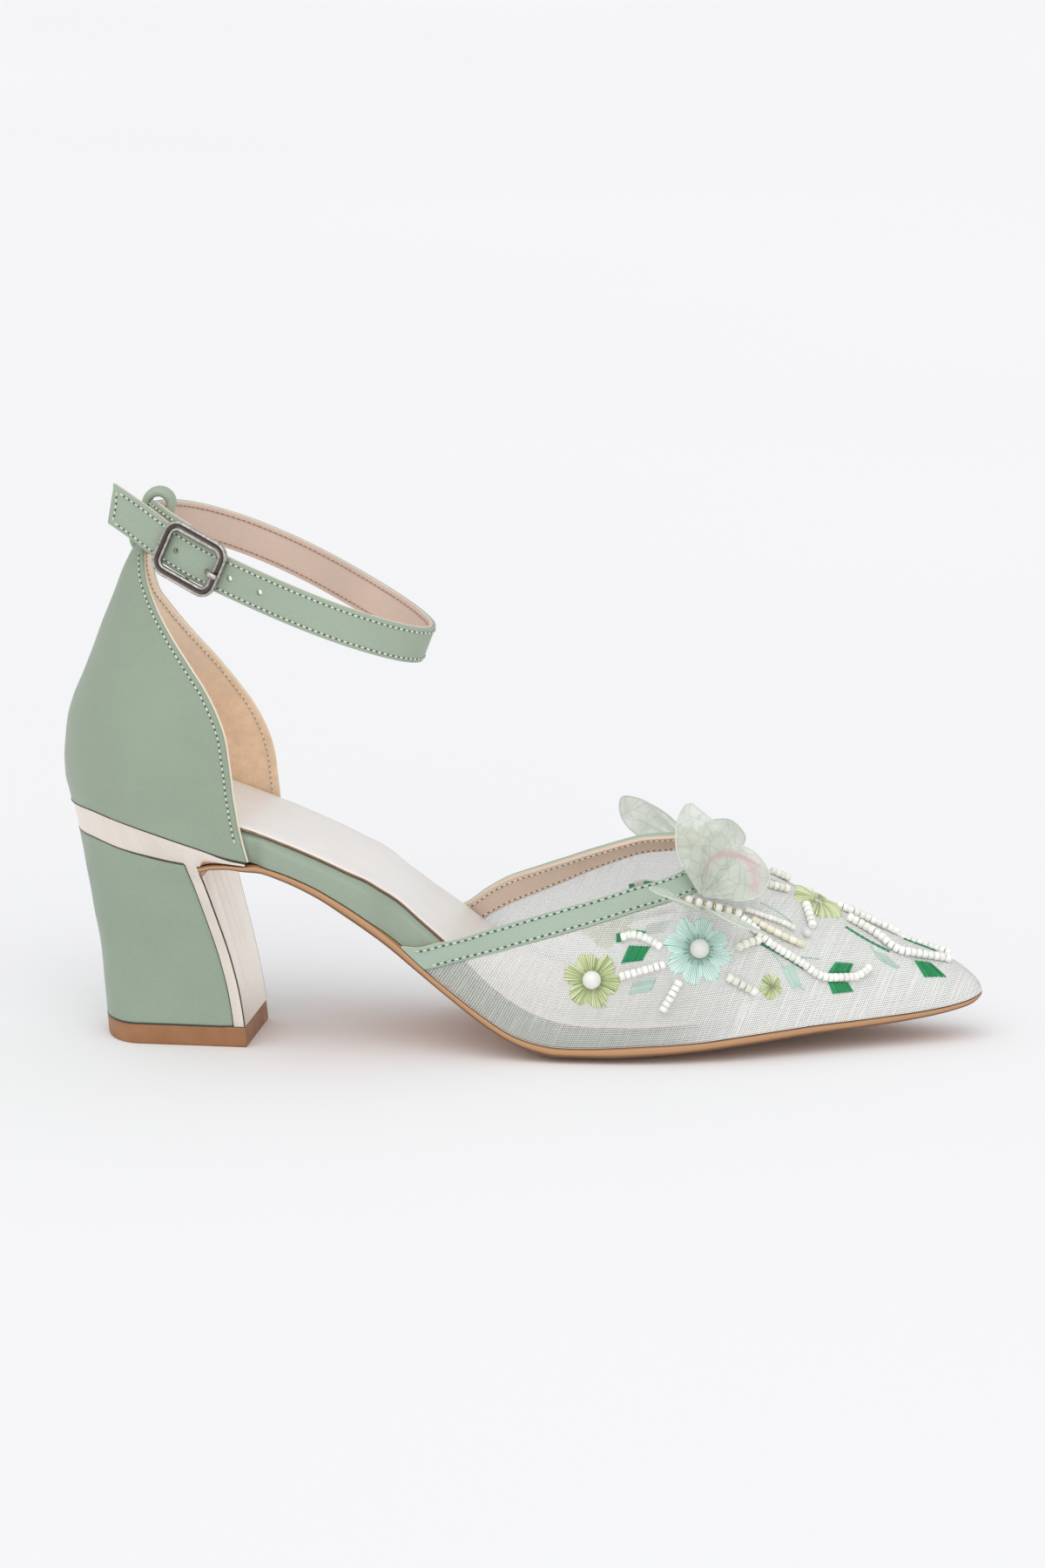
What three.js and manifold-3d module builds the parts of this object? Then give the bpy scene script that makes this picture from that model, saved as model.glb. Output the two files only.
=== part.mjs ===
// Right shoe, a pointed two piece pump with a block heel and an ankle strap.
// Millimetres. x runs from the back of the heel to the toe, y from the outer
// (lateral) side to the inner (medial) side, z up from the floor. The group is
// moved at the end so that the middle of the length and width is the origin.
import * as THREE from "three";
import Module from "manifold-3d";

// ---------- driving dimensions ----------
const ORIGIN = { x: 121.73, y: -3.26 }; // middle of the length and width
const LENGTH = 243; // heel back to toe tip
const COUNTER_TOP = 127.4; // height of the neck of the counter
const COUNTER_WALL = 2.0;
const VAMP_WALL = 1.1; // sheer upper
const BAND_OUT = 0.35; // folded topline band, outside and inside of the upper
const BAND_IN = 1.75;
const GAP = 0.3; // between two pieces that are made apart
const SOCK_THICK = 1.0;
const TOP_PIECE = 5.3;
const BREAST_METAL = 2.8;
const STRAP = { wide: 9.8, thick: 1.8 };
const STRAP_PITCH = 21; // the ring leans down to the front, degrees
const STRAP_ROLL = 3; // and is higher on the inner side
const STRAP_END_RISE = 4.8; // the free end turns up behind its buckle
const BUCKLE = { long: 19.4, wide: 15.4, bar: 2.0, corner: 4.2 };

// ---------- tables ----------
// plan of the last: centre line and half width at the feather line
const PLAN = {
  columns: ["x", "centre", "half"],
  rows: [
    [0, -3, 0], [2, -3.2, 8.4], [9, -3.9, 16.8], [18, -4.9, 22.0],
    [27, -5.7, 24.6], [36, -6.5, 25.4], [50, -7.6, 25.3], [62, -7.5, 25],
    [75, -7.2, 24.8], [88, -6.2, 25.3], [100, -5, 27.2], [112, -3.7, 29.9],
    [125, -2.4, 32.6], [138, -1.3, 34.4], [150, -0.5, 35], [160, -0.1, 34.6],
    [170, 0.4, 33], [180, 0.8, 30.3], [190, 1.2, 26.6], [200, 1.6, 22.2],
    [210, 2, 17.9], [220, 2.35, 13.7], [230, 2.65, 9.7], [236, 2.85, 7.2],
    [240, 2.95, 5.1], [242, 3, 3.0], [243, 3, 0],
  ],
};
// side view: feather line, where the upper stands on the sole
const FEATHER = {
  columns: ["x", "z"],
  rows: [
    [0, 62.1], [9, 61.9], [18, 60.2], [28, 57.8], [37.5, 55.0], [46.5, 52.1],
    [52, 51], [56, 50.1], [60.5, 48.7], [65, 46.9], [69.5, 44.8], [74, 42.2],
    [78.5, 39.4], [83, 36.3], [87.5, 32.9], [92, 29.1], [96.6, 24.9],
    [101, 21.1], [105.7, 17.4], [110.3, 13.9], [115, 10.6], [119.4, 7.8],
    [124, 5.8], [128.6, 4.6], [133, 4.0], [138, 3.9], [147, 4.2], [156, 4.7],
    [169, 5.3], [182.6, 6.5], [200, 7.6], [210, 7.9], [223, 8.5], [232, 9.3],
    [237, 10.1], [241, 11.2], [243, 12],
  ],
};
// outsole: drop of its top below the feather line, underside in the middle
// and at the edge; it is flat on the floor from 132.5 to 147
const OUTSOLE = {
  columns: ["x", "drop", "middle", "edge"],
  rows: [
    [39.7, 4.7, 48.7, 48.7], [42.6, 2.9, 49.4, 49.4], [47, 1.4, 49.5, 49.6],
    [51, 0.9, 49.0, 49.1], [55, 0, 48.5, 48.8], [60.5, 0, 46.6, 47.0],
    [69.5, 0, 42.2, 42.7], [78.5, 0, 36.2, 36.8], [87.5, 0, 29.7, 30.3],
    [96.6, 0, 22.0, 22.8], [105.7, 0, 14.7, 15.5], [115, 0, 7.7, 8.7],
    [119.4, 0, 4.8, 6.1], [124, 0, 2.3, 4.0], [128.5, 0, 0.7, 2.7],
    [132.5, 0, 0, 2.0], [147, 0, 0, 1.9], [150, 0, 0.25, 2.0],
    [157, 0, 1.0, 2.4], [169, 0, 2.2, 3.2], [182.6, 0, 3.6, 4.4],
    [200, 0, 5.1, 5.7], [218, 0, 6.0, 6.5], [228, 0, 7.0, 7.4],
    [237, 0, 8.6, 8.9], [241, 0, 9.9, 10.1], [243, 0, 11.4, 11.5],
  ],
};
// top of the sock, the surface the foot stands on
const SOCK = {
  columns: ["x", "z"],
  rows: [
    [0, 73], [10, 72], [25, 68.8], [40, 64.4], [50, 61], [55.6, 59.1],
    [64.6, 55.4], [73.6, 51.4], [78, 49.2], [83, 46.8], [87, 44], [92, 40.2],
    [96.3, 36.5], [101.2, 32.5], [105.3, 29.0], [110, 24.6], [116, 19.4],
    [122, 15.3], [128, 12.5], [134, 10.8], [142, 9.9], [150, 9.8],
    [165, 10.4], [180, 11.4], [200, 12.7], [220, 13.6], [238, 14.8],
  ],
};
// front of the upper: height of the ridge above the feather line, and how far
// the ridge stands towards the inner side
const RISE = {
  columns: ["x", "rise"],
  rows: [
    [88, 36], [96, 41], [104, 44.5], [112, 47], [123, 49.5], [138, 52],
    [150, 53], [160, 50.8], [168, 47.3], [178.7, 41.5], [186, 36.6],
    [195, 30.9], [202, 27.1], [213, 21.6], [225, 15.9], [232, 12.6],
    [236.5, 9.7], [239, 7.3], [241.2, 4.6], [242.4, 2.4], [243, 0],
  ],
};
const LEAN = {
  columns: ["x", "lean"],
  rows: [[88, 0], [140, 1.5], [168, 3.5], [200, 3.0], [230, 1.0], [243, 0]],
};
// topline of the front upper and the lower edge of its band; turn is the
// angle round the upper, 0 at the lateral feather, 90 at the ridge
const TOPLINE = {
  columns: ["x", "turn"],
  rows: [
    [92, 0], [96.5, 5.6], [101, 12.2], [105.6, 17.9], [110, 23.4],
    [114.5, 29], [123.5, 37.8], [132.4, 42.6], [141.4, 45.2], [150.3, 48],
    [159.2, 53.2], [164.7, 59.8], [167.6, 68], [168.6, 80], [168.2, 92],
    [166.5, 103], [163.5, 111.5], [157.2, 119.3], [147.8, 124.5],
    [138.5, 128], [129.2, 132.8], [119.7, 141.2], [110.2, 155.5],
    [105.1, 165], [99, 174], [95, 180],
  ],
};
const LOWER = {
  columns: ["x", "turn"],
  rows: [
    [98.3, 0], [101, 3.7], [105.7, 10], [110.2, 15.6], [114.7, 20.7],
    [123.7, 29.3], [132.7, 33.9], [141.6, 36.5], [150.6, 39.2],
    [159.5, 43.9], [166.8, 50], [171.8, 59.5], [174.4, 72], [174.9, 85],
    [174, 98], [171.5, 109.5], [167, 119.5], [159, 127.6], [149, 132.6],
    [139.5, 136.8], [130, 142.5], [120.5, 151], [112.5, 162],
    [106.5, 172], [102, 180],
  ],
};
// counter: back profile, half width, roundness of the back, the two ends of
// the section and the shift of the neck, by height
const COUNTER = {
  columns: ["z", "back", "half", "near", "far", "shift"],
  rows: [
    [48, 3.6, 24.8, 53.2, 56, 0], [55, 3.0, 25.2, 51.2, 55.2, 0],
    [61.4, 2.3, 25.4, 49.8, 54.6, 0], [65.4, 1.4, 25.7, 49.2, 54.1, 0],
    [69, 0.6, 26.0, 48.7, 53.7, 0], [74, 0.4, 26.3, 48.2, 52.6, 0],
    [79, 0.8, 26.5, 47.6, 50.6, 0], [84, 1.4, 26.6, 46.9, 47.8, 0],
    [90, 3.1, 26.3, 44.9, 43.4, 0], [96, 5.7, 25.5, 41.9, 38.6, 0],
    [103, 8.5, 24.3, 37.0, 32.7, 0.1], [110, 11.1, 22.9, 31.8, 27.7, 0.4],
    [117, 14.0, 21.5, 27.2, 23.9, 0.8], [124, 16.7, 20.5, 24.0, 22.9, 1.2],
    [131, 20.2, 19.6, 22.9, 23.4, 1.6],
  ],
};
const COUNTER_ROUND = 36;
// heel by height: back, breast, half width, roundness of the back
const HEEL = {
  columns: ["z", "back", "breast", "half", "round"],
  rows: [
    [0, 11.8, 51.6, 15.5, 10], [5.3, 11.4, 51.1, 15.4, 10],
    [14, 10.7, 49.8, 15.2, 11], [23.4, 9.9, 47.7, 15.7, 13],
    [33, 8.2, 45.0, 17.2, 17], [39, 7.2, 43.2, 18.6, 20],
    [44.7, 6.0, 41.5, 20.4, 24], [49, 5.2, 40.2, 22.4, 28],
    [54.4, 4.1, 38.9, 24.2, 32], [62, 2.4, 38, 25.4, 34],
  ],
};
// metal seat under the counter: depth of its band along the side
const SEAT = {
  columns: ["x", "deep"],
  rows: [
    [0, 7.2], [18, 7.1], [28, 6.5], [35, 5.6], [38.8, 5.0], [40.5, 3.6],
    [42.6, 2.3], [47, 0.9], [52, 0.45],
  ],
};
// ankle strap from its buckle end through the loop, round the inner side and
// the front, back along the outer side over itself to the free end
const RING = {
  columns: ["x", "y"],
  rows: [
    [34.4, -16.7], [28.6, -13.4], [24.9, -9.3], [23.4, -4], [23.5, 2],
    [25.4, 9], [29.6, 15.6], [36.5, 20.9], [46, 23.7], [56, 23.0],
    [66, 19.6], [76, 13.8], [86, 6.2], [92.6, -0.8], [96.6, -8],
    [96.8, -14.6], [93.2, -20], [86, -24.3], [76, -27.1], [66, -27.4],
    [56, -26.1], [46, -23.7], [38, -21.1], [30, -18.0], [22, -14.9],
    [13.6, -11.9],
  ],
};
const RING_PLANE = { x: 97.2, y: -14, z: 106.4 };

// wings of the two butterflies, outline of a pair of lobes round its root:
// turn in degrees from the toe direction, reach in mm
const WING_UPRIGHT = {
  columns: ["turn", "reach"],
  rows: [
    [4, 8], [11, 13.8], [24, 17.5], [32, 18.6], [42, 18.5], [54, 18],
    [64, 17], [73, 15.7], [79, 17], [87.6, 18.6], [95.5, 20.2], [106.8, 23.5],
    [110, 24.7], [113, 24.6], [117, 23.1], [121, 21], [126.5, 17.5],
    [133, 13], [137, 8.7],
  ],
};
const WING_FLAT = {
  columns: ["turn", "reach"],
  rows: [
    [4, 7], [20, 17], [33, 21], [45, 20.5], [60, 17], [75, 13], [90, 12.5],
    [105, 15], [118, 19], [130, 21], [140, 19], [152, 11],
  ],
};
const WING_MEDIAL = {
  columns: ["turn", "reach"],
  rows: [
    [3, 9], [8.5, 12.8], [18, 13.8], [30, 13.3], [42, 12.4], [60, 9.7],
    [90, 6], [115, 7], [125, 9.5], [129, 13], [134, 17], [138, 20.8],
    [145, 24.5], [152, 23.3], [164, 17.5], [172, 8],
  ],
};
const WING_THICK = 0.8;
const BEAD = 1.1; // radius of the beads of a body

// ---------- curves ----------
const column = (table, name) => {
  const i = table.columns.indexOf(name);
  return table.rows.map((r) => r[i]);
};
// monotone cubic through the rows of a table
function curveOf(xs, ys) {
  const n = xs.length;
  const h = [], d = [], m = new Array(n).fill(0);
  for (let i = 0; i < n - 1; i++) {
    h.push(xs[i + 1] - xs[i]);
    d.push((ys[i + 1] - ys[i]) / h[i]);
  }
  m[0] = d[0];
  m[n - 1] = d[n - 2];
  for (let i = 1; i < n - 1; i++)
    if (d[i - 1] * d[i] > 0) {
      const a = 2 * h[i] + h[i - 1], b = h[i] + 2 * h[i - 1];
      m[i] = (a + b) / (a / d[i - 1] + b / d[i]);
    }
  return (x) => {
    x = Math.min(Math.max(x, xs[0]), xs[n - 1]);
    let i = 0;
    while (i < n - 2 && x >= xs[i + 1]) i++;
    const t = (x - xs[i]) / h[i], t2 = t * t, t3 = t2 * t;
    return (2 * t3 - 3 * t2 + 1) * ys[i] + (t3 - 2 * t2 + t) * h[i] * m[i] +
      (-2 * t3 + 3 * t2) * ys[i + 1] + (t3 - t2) * h[i] * m[i + 1];
  };
}
const curve = (table, y) => curveOf(table.rows.map((r) => r[0]), column(table, y));
const rooted = (table, y) => {
  const f = curveOf(table.rows.map((r) => r[0]), column(table, y).map((v) => v * v));
  return (x) => Math.sqrt(Math.max(f(x), 0));
};
const centre = curve(PLAN, "centre");
const half = rooted(PLAN, "half");
const feather = curve(FEATHER, "z");
const drop = curve(OUTSOLE, "drop");
const underMiddle = curve(OUTSOLE, "middle");
const underEdge = curve(OUTSOLE, "edge");
const sock = curve(SOCK, "z");
const rise = rooted(RISE, "rise");
const lean = curve(LEAN, "lean");
const seatDeep = curve(SEAT, "deep");
const heelBack = curve(HEEL, "back");
const heelBreast = curve(HEEL, "breast");
const heelHalf = curve(HEEL, "half");
const heelRound = curve(HEEL, "round");
const counterBack = curve(COUNTER, "back");
const counterHalf = curve(COUNTER, "half");
const counterNear = curve(COUNTER, "near");
const counterFar = curve(COUNTER, "far");
const counterShift = curve(COUNTER, "shift");

const clamp = (v, a, b) => Math.min(Math.max(v, a), b);
const lerp = (a, b, t) => a + (b - a) * t;
const smooth = (a, b, x) => {
  const t = clamp((x - a) / (b - a), 0, 1);
  return t * t * (3 - 2 * t);
};
const round = (s) => Math.sqrt(1 - (1 - clamp(s, 0, 1)) ** 2); // quarter ellipse
const V = (x, y, z) => new THREE.Vector3(x, y, z);

// ---------- solids ----------
class Hull {
  constructor() {
    this.points = [];
    this.index = new Map();
    this.faces = [];
  }
  vertex(p) {
    const key = [p.x, p.y, p.z].map((v) => Math.round(v * 500)).join(",");
    if (!this.index.has(key)) {
      this.index.set(key, this.points.length);
      this.points.push(p);
    }
    return this.index.get(key);
  }
  tri(a, b, c) {
    const t = [a, b, c].map((p) => this.vertex(p));
    if (t[0] !== t[1] && t[1] !== t[2] && t[2] !== t[0]) this.faces.push(t);
  }
  quad(a, b, c, d) {
    if (a.distanceToSquared(c) <= b.distanceToSquared(d)) {
      this.tri(a, b, c);
      this.tri(a, c, d);
    } else {
      this.tri(a, b, d);
      this.tri(b, c, d);
    }
  }
  volume() {
    let v = 0;
    for (const [a, b, c] of this.faces)
      v += this.points[a].dot(V(0, 0, 0).crossVectors(this.points[b], this.points[c]));
    return v / 6;
  }
  geometry() {
    const g = new THREE.BufferGeometry();
    const turned = this.volume() < 0;
    g.setAttribute("position", new THREE.Float32BufferAttribute(
      this.points.flatMap((p) => [p.x, p.y, p.z]), 3));
    g.setIndex(this.faces.flatMap(([a, b, c]) => (turned ? [a, c, b] : [a, b, c])));
    return g;
  }
}
// wall between two grids of points, closed round the rim
function wall(outer, inner) {
  const hull = new Hull();
  const n = outer.length - 1, m = outer[0].length - 1;
  for (let i = 0; i < n; i++)
    for (let j = 0; j < m; j++) {
      hull.quad(outer[i][j], outer[i + 1][j], outer[i + 1][j + 1], outer[i][j + 1]);
      hull.quad(inner[i][j], inner[i][j + 1], inner[i + 1][j + 1], inner[i + 1][j]);
    }
  for (let j = 0; j < m; j++) {
    hull.quad(outer[0][j], outer[0][j + 1], inner[0][j + 1], inner[0][j]);
    hull.quad(outer[n][j + 1], outer[n][j], inner[n][j], inner[n][j + 1]);
  }
  for (let i = 0; i < n; i++) {
    hull.quad(outer[i + 1][0], outer[i][0], inner[i][0], inner[i + 1][0]);
    hull.quad(outer[i][m], outer[i + 1][m], inner[i + 1][m], inner[i][m]);
  }
  return hull;
}
// closed rings from one end to the other, capped with a fan
function loft(rings) {
  const hull = new Hull();
  const k = rings[0].length;
  for (let i = 0; i + 1 < rings.length; i++)
    for (let j = 0; j < k; j++)
      hull.quad(rings[i][j], rings[i][(j + 1) % k], rings[i + 1][(j + 1) % k], rings[i + 1][j]);
  const cap = (ring, flip) => {
    const mid = ring.reduce((s, p) => s.add(p), V(0, 0, 0)).divideScalar(k);
    for (let j = 0; j < k; j++) {
      const [a, b] = [ring[j], ring[(j + 1) % k]];
      flip ? hull.tri(mid, b, a) : hull.tri(mid, a, b);
    }
  };
  cap(rings[0], true);
  cap(rings[rings.length - 1], false);
  return hull;
}
// rings that close on themselves, as round a buckle frame
function hoop(rings) {
  const hull = new Hull();
  const n = rings.length, k = rings[0].length;
  for (let i = 0; i < n; i++)
    for (let j = 0; j < k; j++)
      hull.quad(rings[i][j], rings[i][(j + 1) % k],
        rings[(i + 1) % n][(j + 1) % k], rings[(i + 1) % n][j]);
  return hull;
}
// points spread evenly along a polyline
function spread(line, n) {
  const at = [0];
  for (let i = 1; i < line.length; i++) at.push(at[i - 1] + line[i].distanceTo(line[i - 1]));
  const out = [];
  for (let k = 0; k <= n; k++) {
    const d = (at[at.length - 1] * k) / n;
    let i = 0;
    while (i < line.length - 2 && at[i + 1] < d) i++;
    out.push(line[i].clone().lerp(line[i + 1], clamp((d - at[i]) / (at[i + 1] - at[i] || 1), 0, 1)));
  }
  return out;
}
const wasm = await Module();
wasm.setup();
const solid = (hull) => {
  const g = hull.geometry();
  return new wasm.Manifold(new wasm.Mesh({
    numProp: 3,
    vertProperties: g.attributes.position.array,
    triVerts: new Uint32Array(g.index.array),
  }));
};
function geometryOf(made) {
  const mesh = made.getMesh();
  const g = new THREE.BufferGeometry();
  g.setAttribute("position", new THREE.BufferAttribute(new Float32Array(mesh.vertProperties), 3));
  g.setIndex(new THREE.BufferAttribute(new Uint32Array(mesh.triVerts), 1));
  return g;
}

const group = new THREE.Group();
group.name = "mesh_pump";
function add(name, geometry, colour, roughness = 0.6, metalness = 0) {
  geometry.computeVertexNormals();
  const mesh = new THREE.Mesh(geometry, new THREE.MeshStandardMaterial({ color: colour, roughness, metalness }));
  mesh.name = name;
  group.add(mesh);
  return mesh;
}
const range = (a, b, n) => Array.from({ length: n + 1 }, (_, i) => a + ((b - a) * i) / n);

// ---------- front upper ----------
// a point of the last under the front upper
function last(x, turn) {
  const t = (turn * Math.PI) / 180;
  let h = half(x);
  h *= 1 - 0.4 / Math.max(h, 8);
  return V(x, centre(x) - h * Math.cos(t) + lean(x) * Math.sin(t) ** 2,
    feather(x) + GAP + (rise(x) - GAP) * Math.sin(t));
}
function lastNormal(x, turn) {
  const a = last(Math.min(x + 0.2, 242.9), turn).sub(last(x - 0.2, turn));
  const b = last(x, Math.min(turn + 0.5, 180)).sub(last(x, Math.max(turn - 0.5, 0)));
  return b.cross(a).multiplyScalar(-1).normalize();
}
const offLast = (x, turn, d) => {
  if (x > 242.95) return V(LENGTH + d, centre(LENGTH), feather(LENGTH));
  const p = last(x, turn), n = lastNormal(x, turn).multiplyScalar(d);
  if (turn < 1e-6 || turn > 180 - 1e-6) n.z = 0; // the edge stays on the sole
  return p.add(n);
};
// the rows of an edge table spread evenly over the surface
function edgeOf(table, n) {
  const fine = [], xs = column(table, "x"), ts = column(table, "turn");
  const at = [0];
  for (let i = 1; i < xs.length; i++)
    at.push(at[i - 1] + last(xs[i], ts[i]).distanceTo(last(xs[i - 1], ts[i - 1])));
  const fx = curveOf(at, xs), ft = curveOf(at, ts);
  return range(0, at[at.length - 1], n).map((s) => [fx(s), clamp(ft(s), 0, 180)]);
}
const BAND_COLUMNS = 46;
const bandTop = edgeOf(TOPLINE, BAND_COLUMNS), bandLow = edgeOf(LOWER, BAND_COLUMNS);
const bandGrid = (d) => bandTop.map(([x, t], i) => range(0, 1, 2).map((s) =>
  offLast(lerp(x, bandLow[i][0], s), lerp(t, bandLow[i][1], s), d)));
add("topline_band", wall(bandGrid(BAND_OUT), bandGrid(-BAND_IN)).geometry(), 0x9dac98);

// where the sheer upper starts, a gap below the band
const lowX = curveOf(column(LOWER, "turn"), column(LOWER, "x"));
function upperStart(turn, gap) {
  const x = lowX(turn), s = turn < 90 ? 1 : -1;
  const edge = last(lowX(turn + s), turn + s).sub(last(x, turn)).normalize();
  const along = last(x + 0.5, turn).sub(last(x, turn)).normalize();
  const sine = Math.max(along.clone().cross(edge).length(), 0.12);
  return x + (gap / sine) * along.x;
}
const VAMP_TURNS = range(0, 180, 26), VAMP_ROWS = 18;
const vampGrid = (d) => VAMP_TURNS.map((t) => {
  const x0 = upperStart(t, GAP + 0.12);
  return range(0, 1, VAMP_ROWS).map((s) => {
    const x = lerp(x0, LENGTH, 1 - (1 - s) ** 1.35);
    return offLast(x, t, d);
  });
});
add("vamp", wall(vampGrid(0), vampGrid(-VAMP_WALL)).geometry(), 0xc9cdc2, 0.8);

// ---------- counter ----------
function counterSection(z, inset, n) {
  const back = counterBack(z) + inset, b = counterHalf(z) - inset, a = COUNTER_ROUND - inset;
  const side = (sign, end) => {
    const line = [];
    const turnEnd = Math.acos(clamp(1 - (end - back) / a, 0, 1));
    for (const t of range(0, turnEnd, 40)) {
      const x = back + a * (1 - Math.cos(t));
      line.push(V(x, centre(x) + counterShift(z) + sign * b * Math.sin(t), z));
    }
    if (end > back + a)
      for (const x of range(back + a + 0.5, end, 8))
        line.push(V(x, centre(x) + counterShift(z) + sign * b, z));
    return spread(line, n);
  };
  const near = side(-1, counterNear(z)), far = side(1, counterFar(z));
  return [...near.reverse(), ...far.slice(1)];
}
const COUNTER_COLUMNS = 13, COUNTER_ROWS = 14;
const counterFoot = counterSection(56, 0, COUNTER_COLUMNS).map((p) => feather(p.x) + GAP);
const counterGrid = (inset) => range(0, 1, COUNTER_ROWS).map((s) =>
  counterFoot.map((foot, j) => counterSection(lerp(foot, COUNTER_TOP, s), inset, COUNTER_COLUMNS)[j]));
add("counter", wall(counterGrid(0), counterGrid(COUNTER_WALL)).geometry(), 0x9dac98);

// ---------- sole, insole and sock ----------
const STATIONS = [39.7, 42.6, 47, 51, 55, 60, 66, 72, 78, 84, 90, 96, 102, 108,
  114, 119, 124, 128.5, 132.5, 139, 147, 154, 162, 170, 178, 186, 194, 202,
  210, 218, 226, 232, 237, 240, 241.6, 242.6, 243];
const ACROSS = [-1, -0.9, -0.65, -0.3, 0, 0.3, 0.65, 0.9, 1];
const bottom = (x, t) => lerp(underMiddle(x), underEdge(x), Math.abs(t) ** 6);
// the rear end lies along the breast of the heel, which is turned a little
const soleGrid = (height) => STATIONS.map((s) => ACROSS.map((t) => {
  const x = s + (1.2 + 1.6 * t) * clamp((51 - s) / (51 - STATIONS[0]), 0, 1);
  return V(x, centre(x) + t * half(x), height(x, t));
}));
add("outsole", wall(soleGrid((x) => feather(x) - drop(x) - (x < 55 ? 0.02 : 0)), soleGrid(bottom)).geometry(), 0x8a5a3a);

// half width left for the board and the sock at a height z
function room(x, z, side, clear) {
  const back = counterBack(z) + COUNTER_WALL + clear, a = COUNTER_ROUND - COUNTER_WALL - clear;
  const heel = (counterHalf(z) - COUNTER_WALL - clear) * round((x - back) / a);
  const open = half(x) - 0.3;
  const h = half(x) * (1 - 0.4 / Math.max(half(x), 8));
  const lift = clamp((z - feather(x)) / Math.max(rise(x), 1), 0, 0.95);
  const inside = h * Math.sqrt(1 - lift * lift) -
    lerp(BAND_IN + clear, VAMP_WALL + clear + 0.15, smooth(108, 114, x)) -
    2.2 * smooth(205, 236, x) * lift;
  const start = side < 0 ? 53.4 : 56.6;
  const w = lerp(heel, open, smooth(start, start + 4, x));
  return x > 80 ? lerp(w, inside, smooth(82, 91.5, x)) : w;
}
const BOARD_STATIONS = [4.6, 5.6, 8, 12, 17, 24, 32, 40, 47, 52.8, 55, 57, 60, 65, 71,
  77, 82, 86, 90, 94, 99, 104, 110, 116, 122, 128, 135, 144, 155, 167, 180,
  193, 206, 218, 228, 235, 238];
const BOARD_ACROSS = [-1, -0.985, -0.94, -0.86, -0.4, 0, 0.4, 0.86, 0.94, 0.985, 1];
const boardTop = (x) => sock(x) - SOCK_THICK - GAP;
function boardGrid(level, height) {
  return BOARD_STATIONS.map((x) => BOARD_ACROSS.map((t) => {
    const w = room(x, level(x), t, GAP + 0.15);
    const p = V(x, centre(x) + t * w, 0);
    p.z = height(x, t, w);
    return p;
  }));
}
const boardEdge = (x, t, w) => {
  const r = 2.6, d = clamp(w * (1 - Math.abs(t)), 0, r); // rounded top edge
  return r - Math.sqrt(Math.max(r * r - (r - d) ** 2, 0));
};
add("insole", wall(
  boardGrid((x) => boardTop(x) - 0.8, (x, t, w) => boardTop(x) - boardEdge(x, t, w)),
  boardGrid((x) => feather(x) + GAP, (x) => feather(x) + GAP),
).geometry(), 0x9dac98);

const SOCK_STATIONS = BOARD_STATIONS.slice(1, -1);
const SOCK_ACROSS = [-1, -0.8, 0, 0.8, 1];
const sockGrid = (up) => SOCK_STATIONS.map((x) => SOCK_ACROSS.map((t) => {
  const inner = room(x, sock(x), t, GAP + 0.2);
  const w = Math.min(inner, room(x, sock(x), t, GAP + 0.2) - 2.9 * smooth(52, 58, x) * (1 - smooth(108, 118, x)));
  return V(x, centre(x) + t * Math.max(w, 1), sock(x) - SOCK_THICK * (1 - up));
}));
add("sock_lining", wall(sockGrid(1), sockGrid(0)).geometry(), 0xe3dcd8);

// ---------- heel ----------
// outline of the heel at a height: lateral breast corner, back, medial corner
const heelTwist = (x, z) => lerp(-5.6 - 0.07 * x, centre(x), smooth(33, 56, z));
function heelOutline(z, front, n, reach = 0) {
  const back = heelBack(z), b = heelHalf(z), a = heelRound(z);
  const side = (sign) => {
    const end = front + 0.065 * sign * b, line = [];
    for (const t of range(0, Math.PI / 2, 30)) {
      const x = back + a * (1 - Math.cos(t));
      if (x < end) line.push(V(x, heelTwist(x, z) + sign * b * Math.sin(t), z));
    }
    const from = Math.min(back + a, end - 0.6);
    for (const x of range(from, end, 6).slice(1))
      line.push(V(x, heelTwist(x, z) + sign * b * round((x - back) / a), z));
    return spread(line, n);
  };
  return [...side(-1).reverse(), ...side(1).slice(1)];
}
const HEEL_COLUMNS = 14;
const heelFootRing = (z) => heelOutline(z, heelBreast(z), HEEL_COLUMNS);
add("top_piece", loft([heelFootRing(0), heelFootRing(TOP_PIECE)]).geometry(), 0xaa764e);

const blockFront = (z) => heelBreast(z) - BREAST_METAL - GAP;
// underside of the seat over a point of the heel
const seatUnder = (x) => feather(x) - seatDeep(x);
const blockTop = heelOutline(52, blockFront(52), HEEL_COLUMNS).map((p) => seatUnder(Math.min(p.x, 36)) - GAP);
const blockRings = range(0, 1, 9).map((s) => blockTop.map((top, j) => {
  const z = lerp(TOP_PIECE + GAP, top, s);
  return heelOutline(z, blockFront(z), HEEL_COLUMNS)[j];
}));
add("heel_block", loft(blockRings).geometry(), 0x9dac98);

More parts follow.
